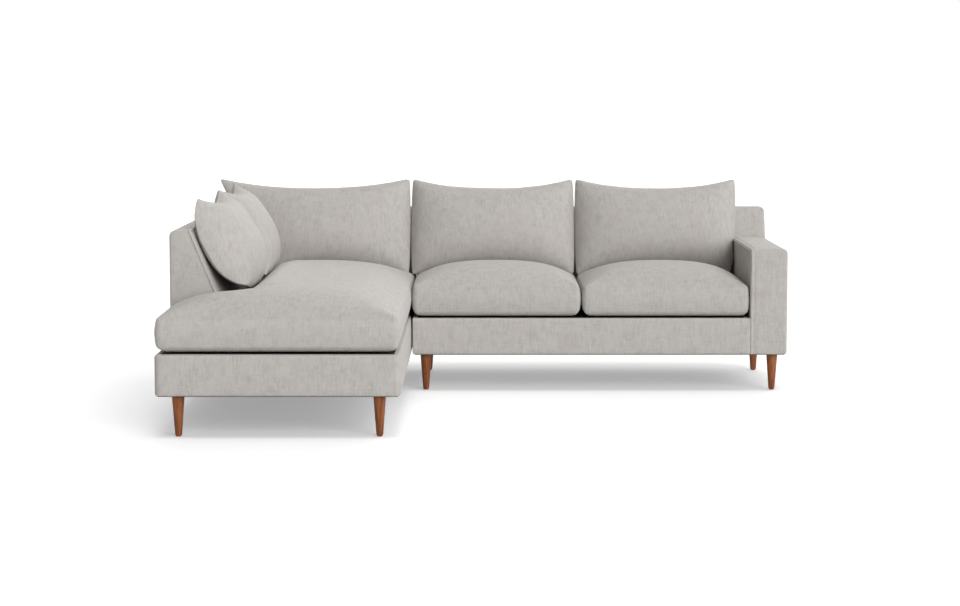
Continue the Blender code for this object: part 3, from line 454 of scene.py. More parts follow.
def new_finish(name):
    material = bpy.data.materials.new(name)
    material.use_nodes = True
    return material, material.node_tree, material.node_tree.nodes["Principled BSDF"]


def set_sockets(tree, node, sockets):
    """Set or join a node's sockets, by name or number."""
    for key, value in sockets.items():
        if isinstance(value, bpy.types.NodeSocket):
            tree.links.new(value, node.inputs[key])
        else:
            node.inputs[key].default_value = value


def add_node(tree, kind, sockets=None, **values):
    """A shader node with its own values and sockets."""
    node = tree.nodes.new(kind)
    for key, value in values.items():
        setattr(node, key, value)
    set_sockets(tree, node, sockets or {})
    return node


def coordinates(tree):
    return add_node(tree, "ShaderNodeTexCoord")


def stretched_noise(tree, place, scale, detail=2.0, roughness=0.55):
    """Noise on the object's own coordinates, with its own number of marks per metre on each axis."""
    mapping = add_node(tree, "ShaderNodeMapping", {"Vector": place, "Scale": scale})
    values = {"Vector": mapping.outputs[0], "Scale": 1.0, "Detail": detail, "Roughness": roughness}
    return add_node(tree, "ShaderNodeTexNoise", values).outputs["Fac"]


def remap(tree, value, low, high, to_low=0.0, to_high=1.0):
    sockets = {"Value": value, "From Min": low, "From Max": high, "To Min": to_low, "To Max": to_high}
    return add_node(tree, "ShaderNodeMapRange", sockets, interpolation_type="SMOOTHSTEP").outputs[0]


def calculate(tree, operation, first, second=0.0):
    return add_node(tree, "ShaderNodeMath", {0: first, 1: second}, operation=operation).outputs[0]


def blend_colours(tree, factor, first, second):
    def opaque(value):
        return value if isinstance(value, bpy.types.NodeSocket) else (*value, 1.0)

    sockets = {0: factor, 6: opaque(first), 7: opaque(second)}
    return add_node(tree, "ShaderNodeMix", sockets, data_type="RGBA").outputs[2]


def blend_values(tree, factor, first, second):
    return add_node(tree, "ShaderNodeMix", {0: factor, 2: first, 3: second}, data_type="FLOAT").outputs[0]


def raise_surface(tree, shader, height, strength, distance):
    sockets = {"Height": height, "Strength": strength, "Distance": distance}
    bump = add_node(tree, "ShaderNodeBump", sockets)
    set_sockets(tree, shader, {"Normal": bump.outputs[0]})


def yarns(tree, place, sideways, level, upright, detail):
    """Streaks by their marks per metre, level round the faces and upright or back along the tops."""
    facing_front = stretched_noise(tree, place, (level, upright, upright), detail)
    facing_side = stretched_noise(tree, place, (upright, level, upright), detail)
    return blend_values(tree, sideways, facing_front, facing_side)


def woven_fabric(name):
    """Soft slubbed chenille: upright streaks of light and dark yarn over a warm grey ground."""
    colours = bpy.context.scene.sofa_colours
    material, tree, shader = new_finish(name)
    source = coordinates(tree)
    place = source.outputs["Object"]
    normal = add_node(tree, "ShaderNodeSeparateXYZ", {0: source.outputs["Normal"]})
    sideways = remap(tree, calculate(tree, "ABSOLUTE", normal.outputs[0]), 0.60, 0.80)
    warp = yarns(tree, place, sideways, level=190.0, upright=30.0, detail=3.0)
    weft = yarns(tree, place, sideways, level=26.0, upright=190.0, detail=3.0)
    slubs = yarns(tree, place, sideways, level=130.0, upright=34.0, detail=2.0)
    ribs = yarns(tree, place, sideways, level=900.0, upright=260.0, detail=2.0)
    mottle = stretched_noise(tree, place, (11.0, 11.0, 11.0), detail=3.0, roughness=0.6)
    patches = stretched_noise(tree, place, (34.0, 34.0, 26.0))
    weave = blend_values(tree, 0.36, warp, weft)
    ground = blend_colours(tree, remap(tree, weave, 0.30, 0.70), colours.fabric_dark, colours.fabric_light)
    warmed = blend_colours(tree, remap(tree, mottle, 0.45, 0.70, 0.0, 0.65), ground, colours.fabric_warm)
    shaded = remap(tree, patches, 0.35, 0.65, 0.0, 0.50)
    toned = blend_colours(tree, shaded, warmed, colours.fabric_light)
    flecked = blend_colours(tree, remap(tree, slubs, 0.64, 0.78, 0.0, 0.45), toned, colours.fabric_light)
    ticked = blend_colours(tree, remap(tree, slubs, 0.22, 0.36, 0.40, 0.0), flecked, colours.fabric_dark)
    height = calculate(tree, "ADD", calculate(tree, "ADD", weave, slubs), ribs)
    raise_surface(tree, shader, height, strength=0.30, distance=0.0010)
    set_sockets(tree, shader, {"Base Color": ticked, "Roughness": 0.95, "Specular IOR Level": 0.20})
    set_sockets(tree, shader, {"Sheen Weight": 0.10, "Sheen Roughness": 0.45})
    return material


def grained_wood(name, light, dark, upright, roughness, coat):
    """Wood whose grain runs along one axis: long streaks, broken rings and short pores."""
    material, tree, shader = new_finish(name)
    place = coordinates(tree).outputs["Object"]
    grain_scale = (170.0, 170.0, 9.0) if upright else (14.0, 160.0, 160.0)
    pore_scale = (900.0, 900.0, 40.0) if upright else (45.0, 800.0, 800.0)
    ring_scale = (38.0, 38.0, 4.0) if upright else (4.0, 38.0, 38.0)
    grain = stretched_noise(tree, place, grain_scale, detail=4.0, roughness=0.6)
    pores = stretched_noise(tree, place, pore_scale)
    rings = stretched_noise(tree, place, ring_scale)
    figure = blend_values(tree, 0.4, grain, rings)
    tone = blend_colours(tree, remap(tree, figure, 0.36, 0.62), dark, light)
    pored = blend_colours(tree, remap(tree, pores, 0.26, 0.40, 0.55, 0.0), tone, dark)
    raise_surface(tree, shader, calculate(tree, "ADD", grain, pores), strength=0.15, distance=0.0004)
    set_sockets(tree, shader, {"Base Color": pored, "Roughness": roughness, "Specular IOR Level": 0.25})
    set_sockets(tree, shader, {"Coat Weight": coat, "Coat Roughness": 0.35})
    return material


def brushed_metal(name, light, dark):
    material, tree, shader = new_finish(name)
    place = coordinates(tree).outputs["Object"]
    marks = stretched_noise(tree, place, (60.0, 400.0, 400.0), detail=3.0)
    tone = blend_colours(tree, remap(tree, marks, 0.3, 0.7), dark, light)
    roughness = remap(tree, marks, 0.3, 0.7, to_low=0.48, to_high=0.28)
    set_sockets(tree, shader, {"Base Color": tone, "Roughness": roughness, "Metallic": 1.0})
    return material


def matted_fibres(name, light, dark, scale, depth):
    """Felt or pressed cloth: fibres in every direction with soft clumps."""
    material, tree, shader = new_finish(name)
    place = coordinates(tree).outputs["Object"]
    fibres = stretched_noise(tree, place, (scale, scale, scale), detail=5.0, roughness=0.7)
    clumps = stretched_noise(tree, place, (scale / 9, scale / 9, scale / 9))
    mixed = blend_values(tree, 0.3, fibres, clumps)
    tone = blend_colours(tree, remap(tree, mixed, 0.36, 0.64), dark, light)
    raise_surface(tree, shader, fibres, strength=0.5, distance=depth)
    set_sockets(tree, shader, {"Base Color": tone, "Roughness": 0.95, "Specular IOR Level": 0.15})
    return material


def finish(slot):
    """The material of a record slot, made once."""
    name = f"{slot}_finish"
    made = bpy.data.materials.get(name)
    if made is not None:
        return made
    colours = bpy.context.scene.sofa_colours
    makers = {
        "upholstery": lambda: woven_fabric(name),
        "cushion_fabric": lambda: woven_fabric(name),
        "leg_wood": lambda: grained_wood(name, colours.leg_light, colours.leg_dark, True, 0.50, 0.06),
        "frame_wood": lambda: grained_wood(name, colours.frame_light, colours.frame_dark, False, 0.75, 0.0),
        "spring_steel": lambda: brushed_metal(name, colours.steel_light, colours.steel_dark),
        "felt": lambda: matted_fibres(name, colours.felt_light, colours.felt_dark, 420.0, 0.0008),
        "dust_cloth": lambda: matted_fibres(name, colours.cloth_light, colours.cloth_dark, 900.0, 0.0003),
    }
    return makers[slot]()


# Covers


def on_plane(edge, axis, value):
    return all(abs(vert.co[axis] - value) < TOUCH for vert in edge.verts)


def butts_back(edge):
    """Whether an edge lies where a cover butts against a rear back."""
    return min(vert.co.y for vert in edge.verts) > BACK_FOOT - 2 * TOUCH


def edge_points(form, spacing):
    """Points along a form's edges, from which the swell of its panels is measured."""
    points = []
    for edge in form.edges:
        start, end = (vert.co.copy() for vert in edge.verts)
        steps = max(1, math.ceil((end - start).length / spacing))
        points += [start.lerp(end, step / steps) for step in range(steps + 1)]
    return point_tree(points)


def turn_under(form, hem_width):
    """Open the underside of a cover inside the strip that is turned under."""
    lowest = min(vert.co.z for vert in form.verts)
    soles = [face for face in form.faces if all(vert.co.z < lowest + TOUCH for vert in face.verts)]
    bmesh.ops.inset_region(form, faces=soles, thickness=hem_width, use_boundary=True, use_even_offset=True)
    bmesh.ops.delete(form, geom=soles, context="FACES")


def faces(normal, ways):
    return max(normal.dot(way) for way in ways) > FACING


def wadding(form, corners, outward):
    """Push the panels that face outward a little proud of their edges, unevenly as wadding does."""
    sizes = bpy.context.scene.sofa_covers
    form.normal_update()
    pushes = {}
    for vert in form.verts:
        if faces(vert.normal, outward):
            fill = 1 - math.exp(-((corners.find(vert.co)[2] / sizes.swell_reach) ** 2))
            uneven = sizes.ripple * noise.noise(vert.co / sizes.ripple_size)
            pushes[vert] = vert.normal * fill * (sizes.swell + uneven)
    for vert, push in pushes.items():
        vert.co += push


def draw_in(form, across, outward):
    """Pull a sewn line into the panels that it crosses, square to the X axis."""
    sizes = bpy.context.scene.sofa_covers
    for offset in (-sizes.groove_half, 0.0, sizes.groove_half):
        cut(form, 0, across + offset)
    form.normal_update()
    sewn = [vert for vert in form.verts if abs(vert.co.x - across) < HAIR]
    pulls = {vert: vert.normal.copy() for vert in sewn if faces(vert.normal, outward)}
    for vert, normal in pulls.items():
        vert.co -= normal * (sizes.groove_depth if normal.z > 0.5 else sizes.seam)


def make_cover(node, body, form, radius_of, outward, axes, beads=(), groove=None):
    """Sew a cover: round each edge by its own radius, turn the hem under, pad the panels and line it."""
    sizes = bpy.context.scene.sofa_covers
    corners = edge_points(form, sizes.slice / 4)
    weights = form.edges.layers.float.new("bevel_weight_edge")
    for edge in form.edges:
        edge[weights] = radius_of(edge) / sizes.edge_round
    piece = add_piece(f"{node}_upholstery", form)
    rounding = piece.modifiers.new("rounding", "BEVEL")
    rounding.width = sizes.edge_round
    rounding.segments = sizes.round_steps
    rounding.limit_method = "WEIGHT"
    apply_modifiers(piece)
    form = form_of(piece)
    turn_under(form, sizes.hem_width)
    for axis in axes:
        places = [vert.co[axis] for vert in form.verts]
        for value in spread(min(places), max(places), sizes.slice):
            cut(form, axis, value)
    wadding(form, corners, outward)
    if groove is not None:
        draw_in(form, groove, outward)
    store(form, piece)
    ridges = [tube(points, radius, closed) for points, radius, closed in beads]
    outside = form_of(piece)
    for mesh in ridges:
        outside.from_mesh(mesh)
    CONTACTS[piece.name] = BVHTree.FromBMesh(outside)
    outside.free()
    backing = piece.modifiers.new("backing", "SOLIDIFY")
    backing.thickness = sizes.skin
    backing.offset = -1.0
    apply_modifiers(piece)
    sew_on(piece, ridges)
    finish_piece(piece, body, node, finish("upholstery"))
    return piece


def raked_depth(height):
    """Distance of a back's face from its outer face at a height above the floor."""
    sizes = bpy.context.scene.sofa_covers
    rise = (height - BASE_TOP) / (BACK_TOP - BASE_TOP)
    return (REAR - BACK_FOOT) + (sizes.back_top_depth - (REAR - BACK_FOOT)) * max(rise, 0.0)


def back_outline():
    """Cross-section of a raked back as (distance from the outer face, height)."""
    foot = REAR - BACK_FOOT
    sizes = bpy.context.scene.sofa_covers
    return [
        (0.0, BASE_BOTTOM),
        (foot, BASE_BOTTOM),
        (foot, BASE_TOP),
        (sizes.back_top_depth, BACK_TOP),
        (0.0, BACK_TOP),
        (0.0, BASE_TOP),
    ]


def straight_line(start, end, spacing=0.02):
    start = Vector(start)
    end = Vector(end)
    steps = max(1, math.ceil((end - start).length / spacing))
    return [start.lerp(end, step / steps) for step in range(steps + 1)]


class SOFA_OT_base_covers(Operator):
    """Cover the two seat bases, with a dark lining under the seat cushions whose darkness is painted shade in
    the slot below them
    """

    bl_idname = "sofa.base_covers"
    bl_label = "Base Covers"

    def line_deck_dark_as_painted_shade(self, piece, low, high):
        """Make the deck of dark cloth inside a border of the fabric; its darkness is painted shade in the
        slot under the seat cushions.
        """
        sizes = bpy.context.scene.sofa_covers
        border = sizes.deck_border
        form = form_of(piece)
        for axis in (0, 1):
            cut(form, axis, low[axis] + border)
            cut(form, axis, high[axis] - border)
        # Painted shade: the dark dust cloth on the deck darkens the slot under the seat cushions
        for face in form.faces:
            place = face.calc_center_median()
            inside = all(low[axis] + border < place[axis] < high[axis] - border for axis in (0, 1))
            if inside and place.z > BASE_TOP - sizes.skin - TOUCH:
                face.material_index = 1
        store(form, piece)
        piece.data.materials.append(finish("dust_cloth"))

    def execute(self, context):
        sizes = context.scene.sofa_covers
        upward = UPWARD * (BASE_TOP - BASE_BOTTOM)
        low, high = SOFA_BASE_LOW, SOFA_BASE_HIGH

        def sofa_radius(edge):
            if on_plane(edge, 0, high.x) or on_plane(edge, 1, high.y):
                return sizes.join_round
            if on_plane(edge, 2, BASE_BOTTOM):
                return sizes.hem_round
            return sizes.welted_round if on_plane(edge, 0, low.x) else sizes.front_round

        sofa = prism([(*corner, BASE_BOTTOM) for corner in rectangle(low.x, high.x, low.y, high.y)], upward)
        piece = make_cover("sofa_base_cover", "sofa", sofa, sofa_radius, [FRONTWARD], (0, 1, 2))
        self.line_deck_dark_as_painted_shade(piece, low, high)

        low, high = BUMPER_BASE_LOW, BUMPER_BASE_HIGH
        inner = SIDE_BACK_HIGH.x
        step = SIDE_BACK_LOW.y

        def bumper_radius(edge):
            middle = (edge.verts[0].co + edge.verts[1].co) / 2
            if middle.y > step - TOUCH and middle.x < (inner + high.x) / 2 or on_plane(edge, 1, high.y):
                return sizes.join_round
            if on_plane(edge, 2, BASE_BOTTOM):
                return sizes.hem_round
            if on_plane(edge, 2, BASE_TOP):
                return sizes.top_round
            return sizes.edge_round

        plan = [
            (low.x, low.y),
            (high.x, low.y),
            (high.x, high.y),
            (inner + TOUCH, high.y),
            (inner + TOUCH, step - TOUCH),
            (low.x, step - TOUCH),
        ]
        bumper = prism([(x, y, BASE_BOTTOM) for x, y in plan], upward)
        outward = [FRONTWARD, LEFTWARD, RIGHTWARD]
        piece = make_cover("bumper_base_cover", "bumper", bumper, bumper_radius, outward, (0, 1, 2))
        self.line_deck_dark_as_painted_shade(piece, low, high)
        return {"FINISHED"}


class SOFA_OT_back_covers(Operator):
    """Cover the two rear backs and the side back"""

    bl_idname = "sofa.back_covers"
    bl_label = "Back Covers"

    def rear_back(self, node, body, low, high, free_end):
        sizes = bpy.context.scene.sofa_covers

        def radius(edge):
            is_end = any(on_plane(edge, 0, end) for end in (low.x, high.x))
            if is_end and not on_plane(edge, 0, free_end):
                return sizes.join_round
            if on_plane(edge, 2, BASE_BOTTOM):
                return sizes.hem_round if on_plane(edge, 1, REAR) else sizes.join_round
            if is_end and not on_plane(edge, 2, BACK_TOP) and not on_plane(edge, 1, REAR):
                return sizes.front_round if free_end == high.x else sizes.join_round
            if on_plane(edge, 2, BASE_TOP):
                return 0.0
            if on_plane(edge, 2, BACK_TOP) and not is_end and not on_plane(edge, 1, REAR):
                return sizes.top_round
            return sizes.edge_round

        outline = [(low.x, REAR - depth, height) for depth, height in back_outline()]
        form = prism(outline, RIGHTWARD * (high.x - low.x))
        outward = [REARWARD, UPWARD, RIGHTWARD if free_end == high.x else LEFTWARD]
        inset = sizes.edge_round / 3
        start = Vector((low.x + inset, REAR - inset, BACK_TOP - inset))
        seam = straight_line(start, start + RIGHTWARD * (high.x - low.x - 2 * inset))
        make_cover(node, body, form, radius, outward, (0, 2), [(seam, sizes.seam, False)])

    def side_back(self):
        sizes = bpy.context.scene.sofa_covers
        low, high = SIDE_BACK_LOW, SIDE_BACK_HIGH

        def radius(edge):
            if butts_back(edge):
                return sizes.join_round
            if on_plane(edge, 2, BASE_BOTTOM):
                return sizes.join_round if on_plane(edge, 0, high.x) else sizes.hem_round
            if on_plane(edge, 1, low.y):
                if on_plane(edge, 0, low.x) or on_plane(edge, 2, BACK_TOP):
                    return sizes.front_round
                return sizes.welted_round
            if on_plane(edge, 2, BACK_TOP):
                return sizes.edge_round if on_plane(edge, 0, low.x) else sizes.welted_round
            if on_plane(edge, 2, BASE_TOP):
                return 0.0
            return sizes.join_round

        outline = [(low.x + depth, low.y, height) for depth, height in back_outline()]
        form = prism(outline, REARWARD * (REAR - low.y))
        for vert in form.verts:
            if vert.co.y > BACK_FOOT:
                vert.co.y = REAR - raked_depth(vert.co.z) - TOUCH
        rear_end = [vert for vert in form.verts if vert.co.y > low.y + TOUCH]
        bmesh.ops.connect_verts(form, verts=[vert for vert in rear_end if abs(vert.co.z - BASE_TOP) < TOUCH])
        top_inner = low.x + sizes.back_top_depth
        front = low.y + sizes.welt_sink
        corner = (top_inner - sizes.welt_sink, front, BACK_TOP - sizes.welt_sink)
        foot = (high.x - sizes.welt_sink, front, BASE_TOP)
        rear = (corner[0], REAR - raked_depth(BACK_TOP) - sizes.join_round, corner[2])
        welt = straight_line(foot, corner) + straight_line(corner, rear)[1:]
        outward = [LEFTWARD, FRONTWARD, UPWARD]
        beads = [(welt, sizes.welt, False)]
        make_cover("bumper_side_back_cover", "bumper", form, radius, outward, (1, 2), beads)

    def execute(self, context):
        self.rear_back("sofa_back_cover", "sofa", SOFA_BACK_LOW, SOFA_BACK_HIGH, SOFA_BACK_HIGH.x)
        self.rear_back("bumper_back_cover", "bumper", BUMPER_BACK_LOW, BUMPER_BACK_HIGH, BUMPER_BACK_LOW.x)
        self.side_back()
        return {"FINISHED"}


class SOFA_OT_arm_cover(Operator):
    """Cover the arm, with the welt along its inner top edge"""

    bl_idname = "sofa.arm_cover"
    bl_label = "Arm Cover"

    def execute(self, context):
        sizes = context.scene.sofa_covers
        low, high = ARM_LOW, ARM_HIGH

        def radius(edge):
            if butts_back(edge):
                return sizes.join_round
            if on_plane(edge, 0, low.x):
                return sizes.welted_round if on_plane(edge, 2, high.z) else sizes.join_round
            if on_plane(edge, 2, BASE_BOTTOM):
                return sizes.hem_round
            if on_plane(edge, 1, low.y):
                return sizes.front_round
            return sizes.edge_round

        rear = BACK_FOOT - TOUCH
        top_rear = REAR - raked_depth(high.z) - TOUCH
        outline = [
            (low.x, low.y, BASE_BOTTOM),
            (low.x, rear, BASE_BOTTOM),
            (low.x, rear, BASE_TOP),
            (low.x, top_rear, high.z),
            (low.x, low.y, high.z),
        ]
        form = prism(outline, RIGHTWARD * (high.x - low.x))
        across = low.x + sizes.welt_sink
        up = high.z - sizes.welt_drop
        corner = (across, low.y + sizes.welt_drop, up)
        foot = (across, low.y + sizes.welt_drop, BASE_BOTTOM + sizes.hem_round)
        welt = straight_line(foot, corner) + straight_line(corner, (across, top_rear, up))[1:]
        outward = [FRONTWARD, RIGHTWARD, UPWARD]
        beads = [(welt, sizes.welt, False)]
        groove = low.x + sizes.border
        make_cover("sofa_arm_cover", "sofa", form, radius, outward, (0, 1, 2), beads, groove)
        return {"FINISHED"}


# Cushions


def fill_out(piece, sewn, cap):
    """Blow a cushion up as cloth, held where it is sewn or rests, and keep each point's move, up to a cap."""
    scene = bpy.context.scene
    held = piece.vertex_groups.new(name="sewn")
    held.add(sewn, 1.0, "REPLACE")
    filling = piece.modifiers.new("filling", "CLOTH")
    cloth = filling.settings
    cloth.quality = 5
    cloth.mass = 0.3
    cloth.tension_stiffness = 15.0
    cloth.compression_stiffness = 15.0
    cloth.shear_stiffness = 5.0
    cloth.bending_stiffness = 0.5
    cloth.use_pressure = True
    cloth.uniform_pressure_force = FILLING_PRESSURE
    cloth.vertex_group_mass = "sewn"
    cloth.effector_weights.gravity = 0.0
    filling.collision_settings.use_collision = False
    filling.point_cache.frame_start = 1
    filling.point_cache.frame_end = FILLING_FRAMES
    for moment in range(1, FILLING_FRAMES + 1):
        scene.frame_set(moment)
    shaped = piece.evaluated_get(bpy.context.evaluated_depsgraph_get()).data
    pushes = [after.co - before.co for before, after in zip(piece.data.vertices, shaped.vertices)]
    piece.modifiers.remove(filling)
    piece.vertex_groups.remove(held)
    scene.frame_set(1)
    for vert, push in zip(piece.data.vertices, pushes):
        vert.co += push * min(1.0, cap / max(push.length, TINY))
    piece.data.update()


def graded(low, high, spacing):
    """Cuts across a cushion: close beside its edges, where it curls under, and even between."""
    first = [low + step for step in EDGE_CUTS]
    last = [high - step for step in EDGE_CUTS]
    return first + spread(first[-1], last[-1], spacing) + last


def round_corners(form, outline, radius):
    """Round the outward corners of a slab's plan, carrying its squares with them."""
    for index, corner in enumerate(outline):
        before = (outline[index - 1] - corner).normalized()
        after = (outline[(index + 1) % len(outline)] - corner).normalized()
        if after.cross(before) < 0:
            continue
        for vert in form.verts:
            offset = vert.co.xy - corner
            across = 1 - offset.dot(before) / radius
            along = 1 - offset.dot(after) / radius
            if 0 <= across <= 1 and 0 <= along <= 1:
                rounded_across = across * math.sqrt(1 - along * along / 2)
                rounded_along = along * math.sqrt(1 - across * across / 2)
                place = corner + before * radius * (1 - rounded_across) + after * radius * (1 - rounded_along)
                vert.co.xy = place


def loop_in_order(edges):
    """Points of a closed ring of edges, in order."""
    ring = [edges[0].verts[0]]
    left = set(edges)
    while left:
        step = next(edge for edge in ring[-1].link_edges if edge in left)
        left.remove(step)
        ring.append(step.other_vert(ring[-1]))
    return ring[:-1]


def seat_rise(distances):
    """Share of the crown's rise at a point, from its distances to the cushion's sides."""
    sizes = bpy.context.scene.sofa_seats
    rise = 1.0
    for distance in distances:
        rise *= 1 - (1 - min(max(distance, 0.0) / sizes.crown_reach, 1.0)) ** sizes.crown_fall
    return rise**sizes.crown_power


def sole_height(inside):
    """Height of the underside over the cushion's foot, at a distance in from its sides."""
    sizes = bpy.context.scene.sofa_seats
    slant = 1 - math.sin(math.pi / 2 * min(inside / sizes.tuck, 1.0))
    flat = 1 - min(inside / sizes.sole_reach, 1.0)
    return (sizes.lower_seam - sizes.sole_lift) * slant + sizes.sole_lift * flat * flat


def seat_slab(outline, lower, upper):
    """A flat slab between the heights of a cushion's two seams, cut into squares."""
    sizes = bpy.context.scene.sofa_seats
    form = prism([(*point, lower) for point in outline], UPWARD * (upper - lower))
    for axis in (0, 1):
        stations = sorted({round(point[axis], 5) for point in outline})
        for value in stations[1:-1]:
            cut(form, axis, value)
        for start, end in zip(stations, stations[1:]):
            for value in graded(start, end, sizes.cell):
                cut(form, axis, value)
    for value in [lower + sizes.seam_strip] + spread(lower, upper, sizes.cell):
        cut(form, 2, value)
    form.verts.index_update()
    form.normal_update()
    return form


def rim_lines(form, middle):
    """Indices of the points round a slab's lower and upper rims, in order."""
    rims = [[], []]
    for edge in form.edges:
        slopes = sorted(abs(face.normal.z) for face in edge.link_faces)
        if slopes[0] < 0.5 < slopes[1]:
            rims[edge.verts[0].co.z > middle].append(edge)
    return [[vert.index for vert in loop_in_order(rim)] for rim in rims]


def seat_cushion(node, outline, distances, crown):
    """A boxed seat cushion: crowned top, swelling boxing between two seams, and an underside that slants in.

    distances gives how far a point is from each side of the plan, scaled where a side has a reach of its own.
    The crown falls away towards them all.
    """
    sizes = bpy.context.scene.sofa_seats
    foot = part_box(node)[0].z
    lower = foot + sizes.lower_seam
    upper = foot + sizes.upper_seam
    form = seat_slab(outline, lower, upper)
    tops = []
    soles = []
    sides = []
    for vert in form.verts:
        if vert.co.z > upper - HAIR:
            tops.append((vert, seat_rise(distances(vert.co))))
        elif vert.co.z < lower + HAIR:
            soles.append((vert, min(distances(vert.co))))
        else:
            sides.append((vert, math.sin(math.pi * (vert.co.z - lower) / (upper - lower))))
    seams = rim_lines(form, (lower + upper) / 2)
    round_corners(form, outline, sizes.corner)
    form.normal_update()
    outward = {vert: Vector((*vert.normal.xy.normalized(), 0.0)) for vert, _ in sides}
    for vert, swell in sides:
        vert.co += outward[vert] * sizes.bulge * swell
    form.verts.ensure_lookup_table()
    for index in seams[0]:
        vert = form.verts[index]
        vert.co -= Vector((*vert.normal.xy.normalized(), 0.0)) * sizes.pinch
    shoulders = [vert for vert, _ in tops if min(distances(vert.co)) < sizes.shoulder]
    shoulders += [vert for vert, _ in sides if vert.co.z > upper - sizes.shoulder]
    for vert, rise in tops:
        vert.co.z += crown * rise
    for vert, inside in soles:
        vert.co.z = foot + sole_height(max(inside, 0.0))
    every_way = {"use_axis_x": True, "use_axis_y": True, "use_axis_z": True}
    for _ in range(sizes.shoulder_rounds):
        bmesh.ops.smooth_vert(form, verts=shoulders, factor=0.5, **every_way)
    sewn = [vert.index for vert, _ in soles] + seams[1]
    piece = add_piece(f"{node}_stuffed", form)
    fill_out(piece, sewn, sizes.cap)
    lines = [[piece.data.vertices[index].co.copy() for index in seam] for seam in seams]
    subdivide(piece, 1)
    tree = surface(piece)
    beads = [tube([tree.find_nearest(point)[0] for point in line], sizes.seam, True) for line in lines]
    sew_on(piece, beads)
    finish_piece(piece, node, node, finish("cushion_fabric"))


class SOFA_OT_sofa_seat_cushions(Operator):
    """Stuff the two seat cushions of the sofa"""

    bl_idname = "sofa.sofa_seat_cushions"
    bl_label = "Sofa Seat Cushions"

    def execute(self, context):
        sizes = context.scene.sofa_seats
        inset = sizes.bulge
        outer = inset - sizes.snugness
        for place, from_left, from_right in (("left", outer, inset), ("right", inset, outer)):
            node = f"sofa_seat_cushion_{place}"
            low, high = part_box(node)
            left, right = low.x + from_left, high.x - from_right
            front, rear = low.y + inset, high.y - inset

            def distances(point):
                return point.x - left, right - point.x, point.y - front, rear - point.y

            seat_cushion(node, rectangle(left, right, front, rear), distances, sizes.crown)
        return {"FINISHED"}


class SOFA_OT_bumper_seat_cushion(Operator):
    """Stuff the deep seat cushion of the bumper, cut back where the side back stands"""

    bl_idname = "sofa.bumper_seat_cushion"
    bl_label = "Bumper Seat Cushion"

    def execute(self, context):
        sizes = context.scene.sofa_seats
        inset = sizes.bulge
        low, high = BUMPER_SEAT_LOW, BUMPER_SEAT_HIGH
        left, right = low.x + inset, high.x - inset
        front, rear = low.y + inset, high.y - inset
        inner = SIDE_BACK_HIGH.x + (BACK_FOOT - high.y) + inset
        step = SIDE_BACK_LOW.y - (BACK_FOOT - high.y) - inset
        outline = [
            Vector((left, front)),
            Vector((right, front)),
            Vector((right, rear)),
            Vector((inner, rear)),
            Vector((inner, step)),
            Vector((left, step)),
        ]

        def distances(point):
            notch = math.hypot(max(point.x - inner, 0.0), max(step - point.y, 0.0))
            free = [point.x - left, right - point.x, point.y - front, rear - point.y]
            wider = sizes.crown_reach / sizes.bumper_reach
            return *(distance * wider for distance in free), notch * sizes.crown_reach / sizes.notch_reach

        seat_cushion("bumper_seat_cushion", outline, distances, sizes.bumper_crown)
        return {"FINISHED"}


def pillow_point(place, size, depths, cuts, thin_left):
    """A point of a knife-edged cushion, drawn flat.

    place is (u across, v up, side), where side is 1 on the face that shows, -1 behind and 0 on the seam.
    depths are the fullness in front and behind, and how far the cushion slumps back between its edges.
    cuts are how far the lower left and right corners move in, how far the right one is rounded, and how far
    the lower tips of a slumped cushion draw in. thin_left is the fullness of the left end.
    """
    sizes = bpy.context.scene.sofa_pillows
    u, v, side = place
    width, height = size
    front, rear, sag = depths
    if sag:
        falls = sizes.side_end_fall, sizes.side_fall
        dip = sizes.side_foot_dip if v < 0 else sizes.side_dip
        power = sizes.side_power
        tip = cuts[3] if v < 0 else sizes.tip_round
        tip_fall = sizes.foot_fall if v < 0 else sizes.tip_fall
        if v < 0:
            falls = sizes.side_end_fall, sizes.side_foot_fall if side > 0 else sizes.fall
    else:
        falls = sizes.fall, sizes.fall
        dip = sizes.back_foot_dip if v < 0 else sizes.dip
        power = sizes.power
        tip = -sizes.tip_reach
        tip_fall = sizes.tip_fall
    swell = ((1 - abs(u) ** falls[0]) * (1 - abs(v) ** falls[1])) ** power
    if u < 0:
        swell *= 1 + (thin_left - 1) * abs(u)
    depth = -sag * (1 - v * v) * (1 + sizes.sag_skew * max(v, 0.0))
    if sag and v < 0:
        slump = -4 * sizes.foot_sag * v * (1 + v)
        depth -= slump
        front += slump - sag * sizes.sag_skew * v * (1 - v * v)
    if side > 0:
        depth += sizes.seam_half + front * swell
    elif side < 0:
        depth -= sizes.seam_half + rear * min(1.0, sizes.rear_fill * swell)
    across = u * (width / 2 + sizes.spread * (1 - v * v))
    lowness = (1 - v) / 2
    across += cuts[0] * max(-u, 0.0) * lowness
    across -= (cuts[1] * lowness + cuts[2] * lowness ** sizes.corner_fall) * max(u, 0.0)
    upward = v * (height / 2 - dip * (1 - abs(u) ** sizes.dip_fall))
    tip *= abs(u * v) ** tip_fall
    return Vector((across - math.copysign(tip, u), upward - math.copysign(tip, v), depth))


def gather(piece, seam_line):
    """Soft dips over a cushion's faces, and small gathers beside its seam."""
    sizes = bpy.context.scene.sofa_pillows
    pushes = []
    for vert in piece.data.vertices:
        nearness = 1 - min(seam_line.find(vert.co)[2] / sizes.pucker_reach, 1.0)
        soft = sizes.ripple * noise.noise(vert.co / sizes.ripple_size) * (1 - nearness)
        gathers = sizes.pucker * noise.noise(vert.co / sizes.pucker_size) * 4 * nearness * (1 - nearness)
        pushes.append(vert.normal * (soft + gathers))
    for vert, push in zip(piece.data.vertices, pushes):
        vert.co += push
    piece.data.update()


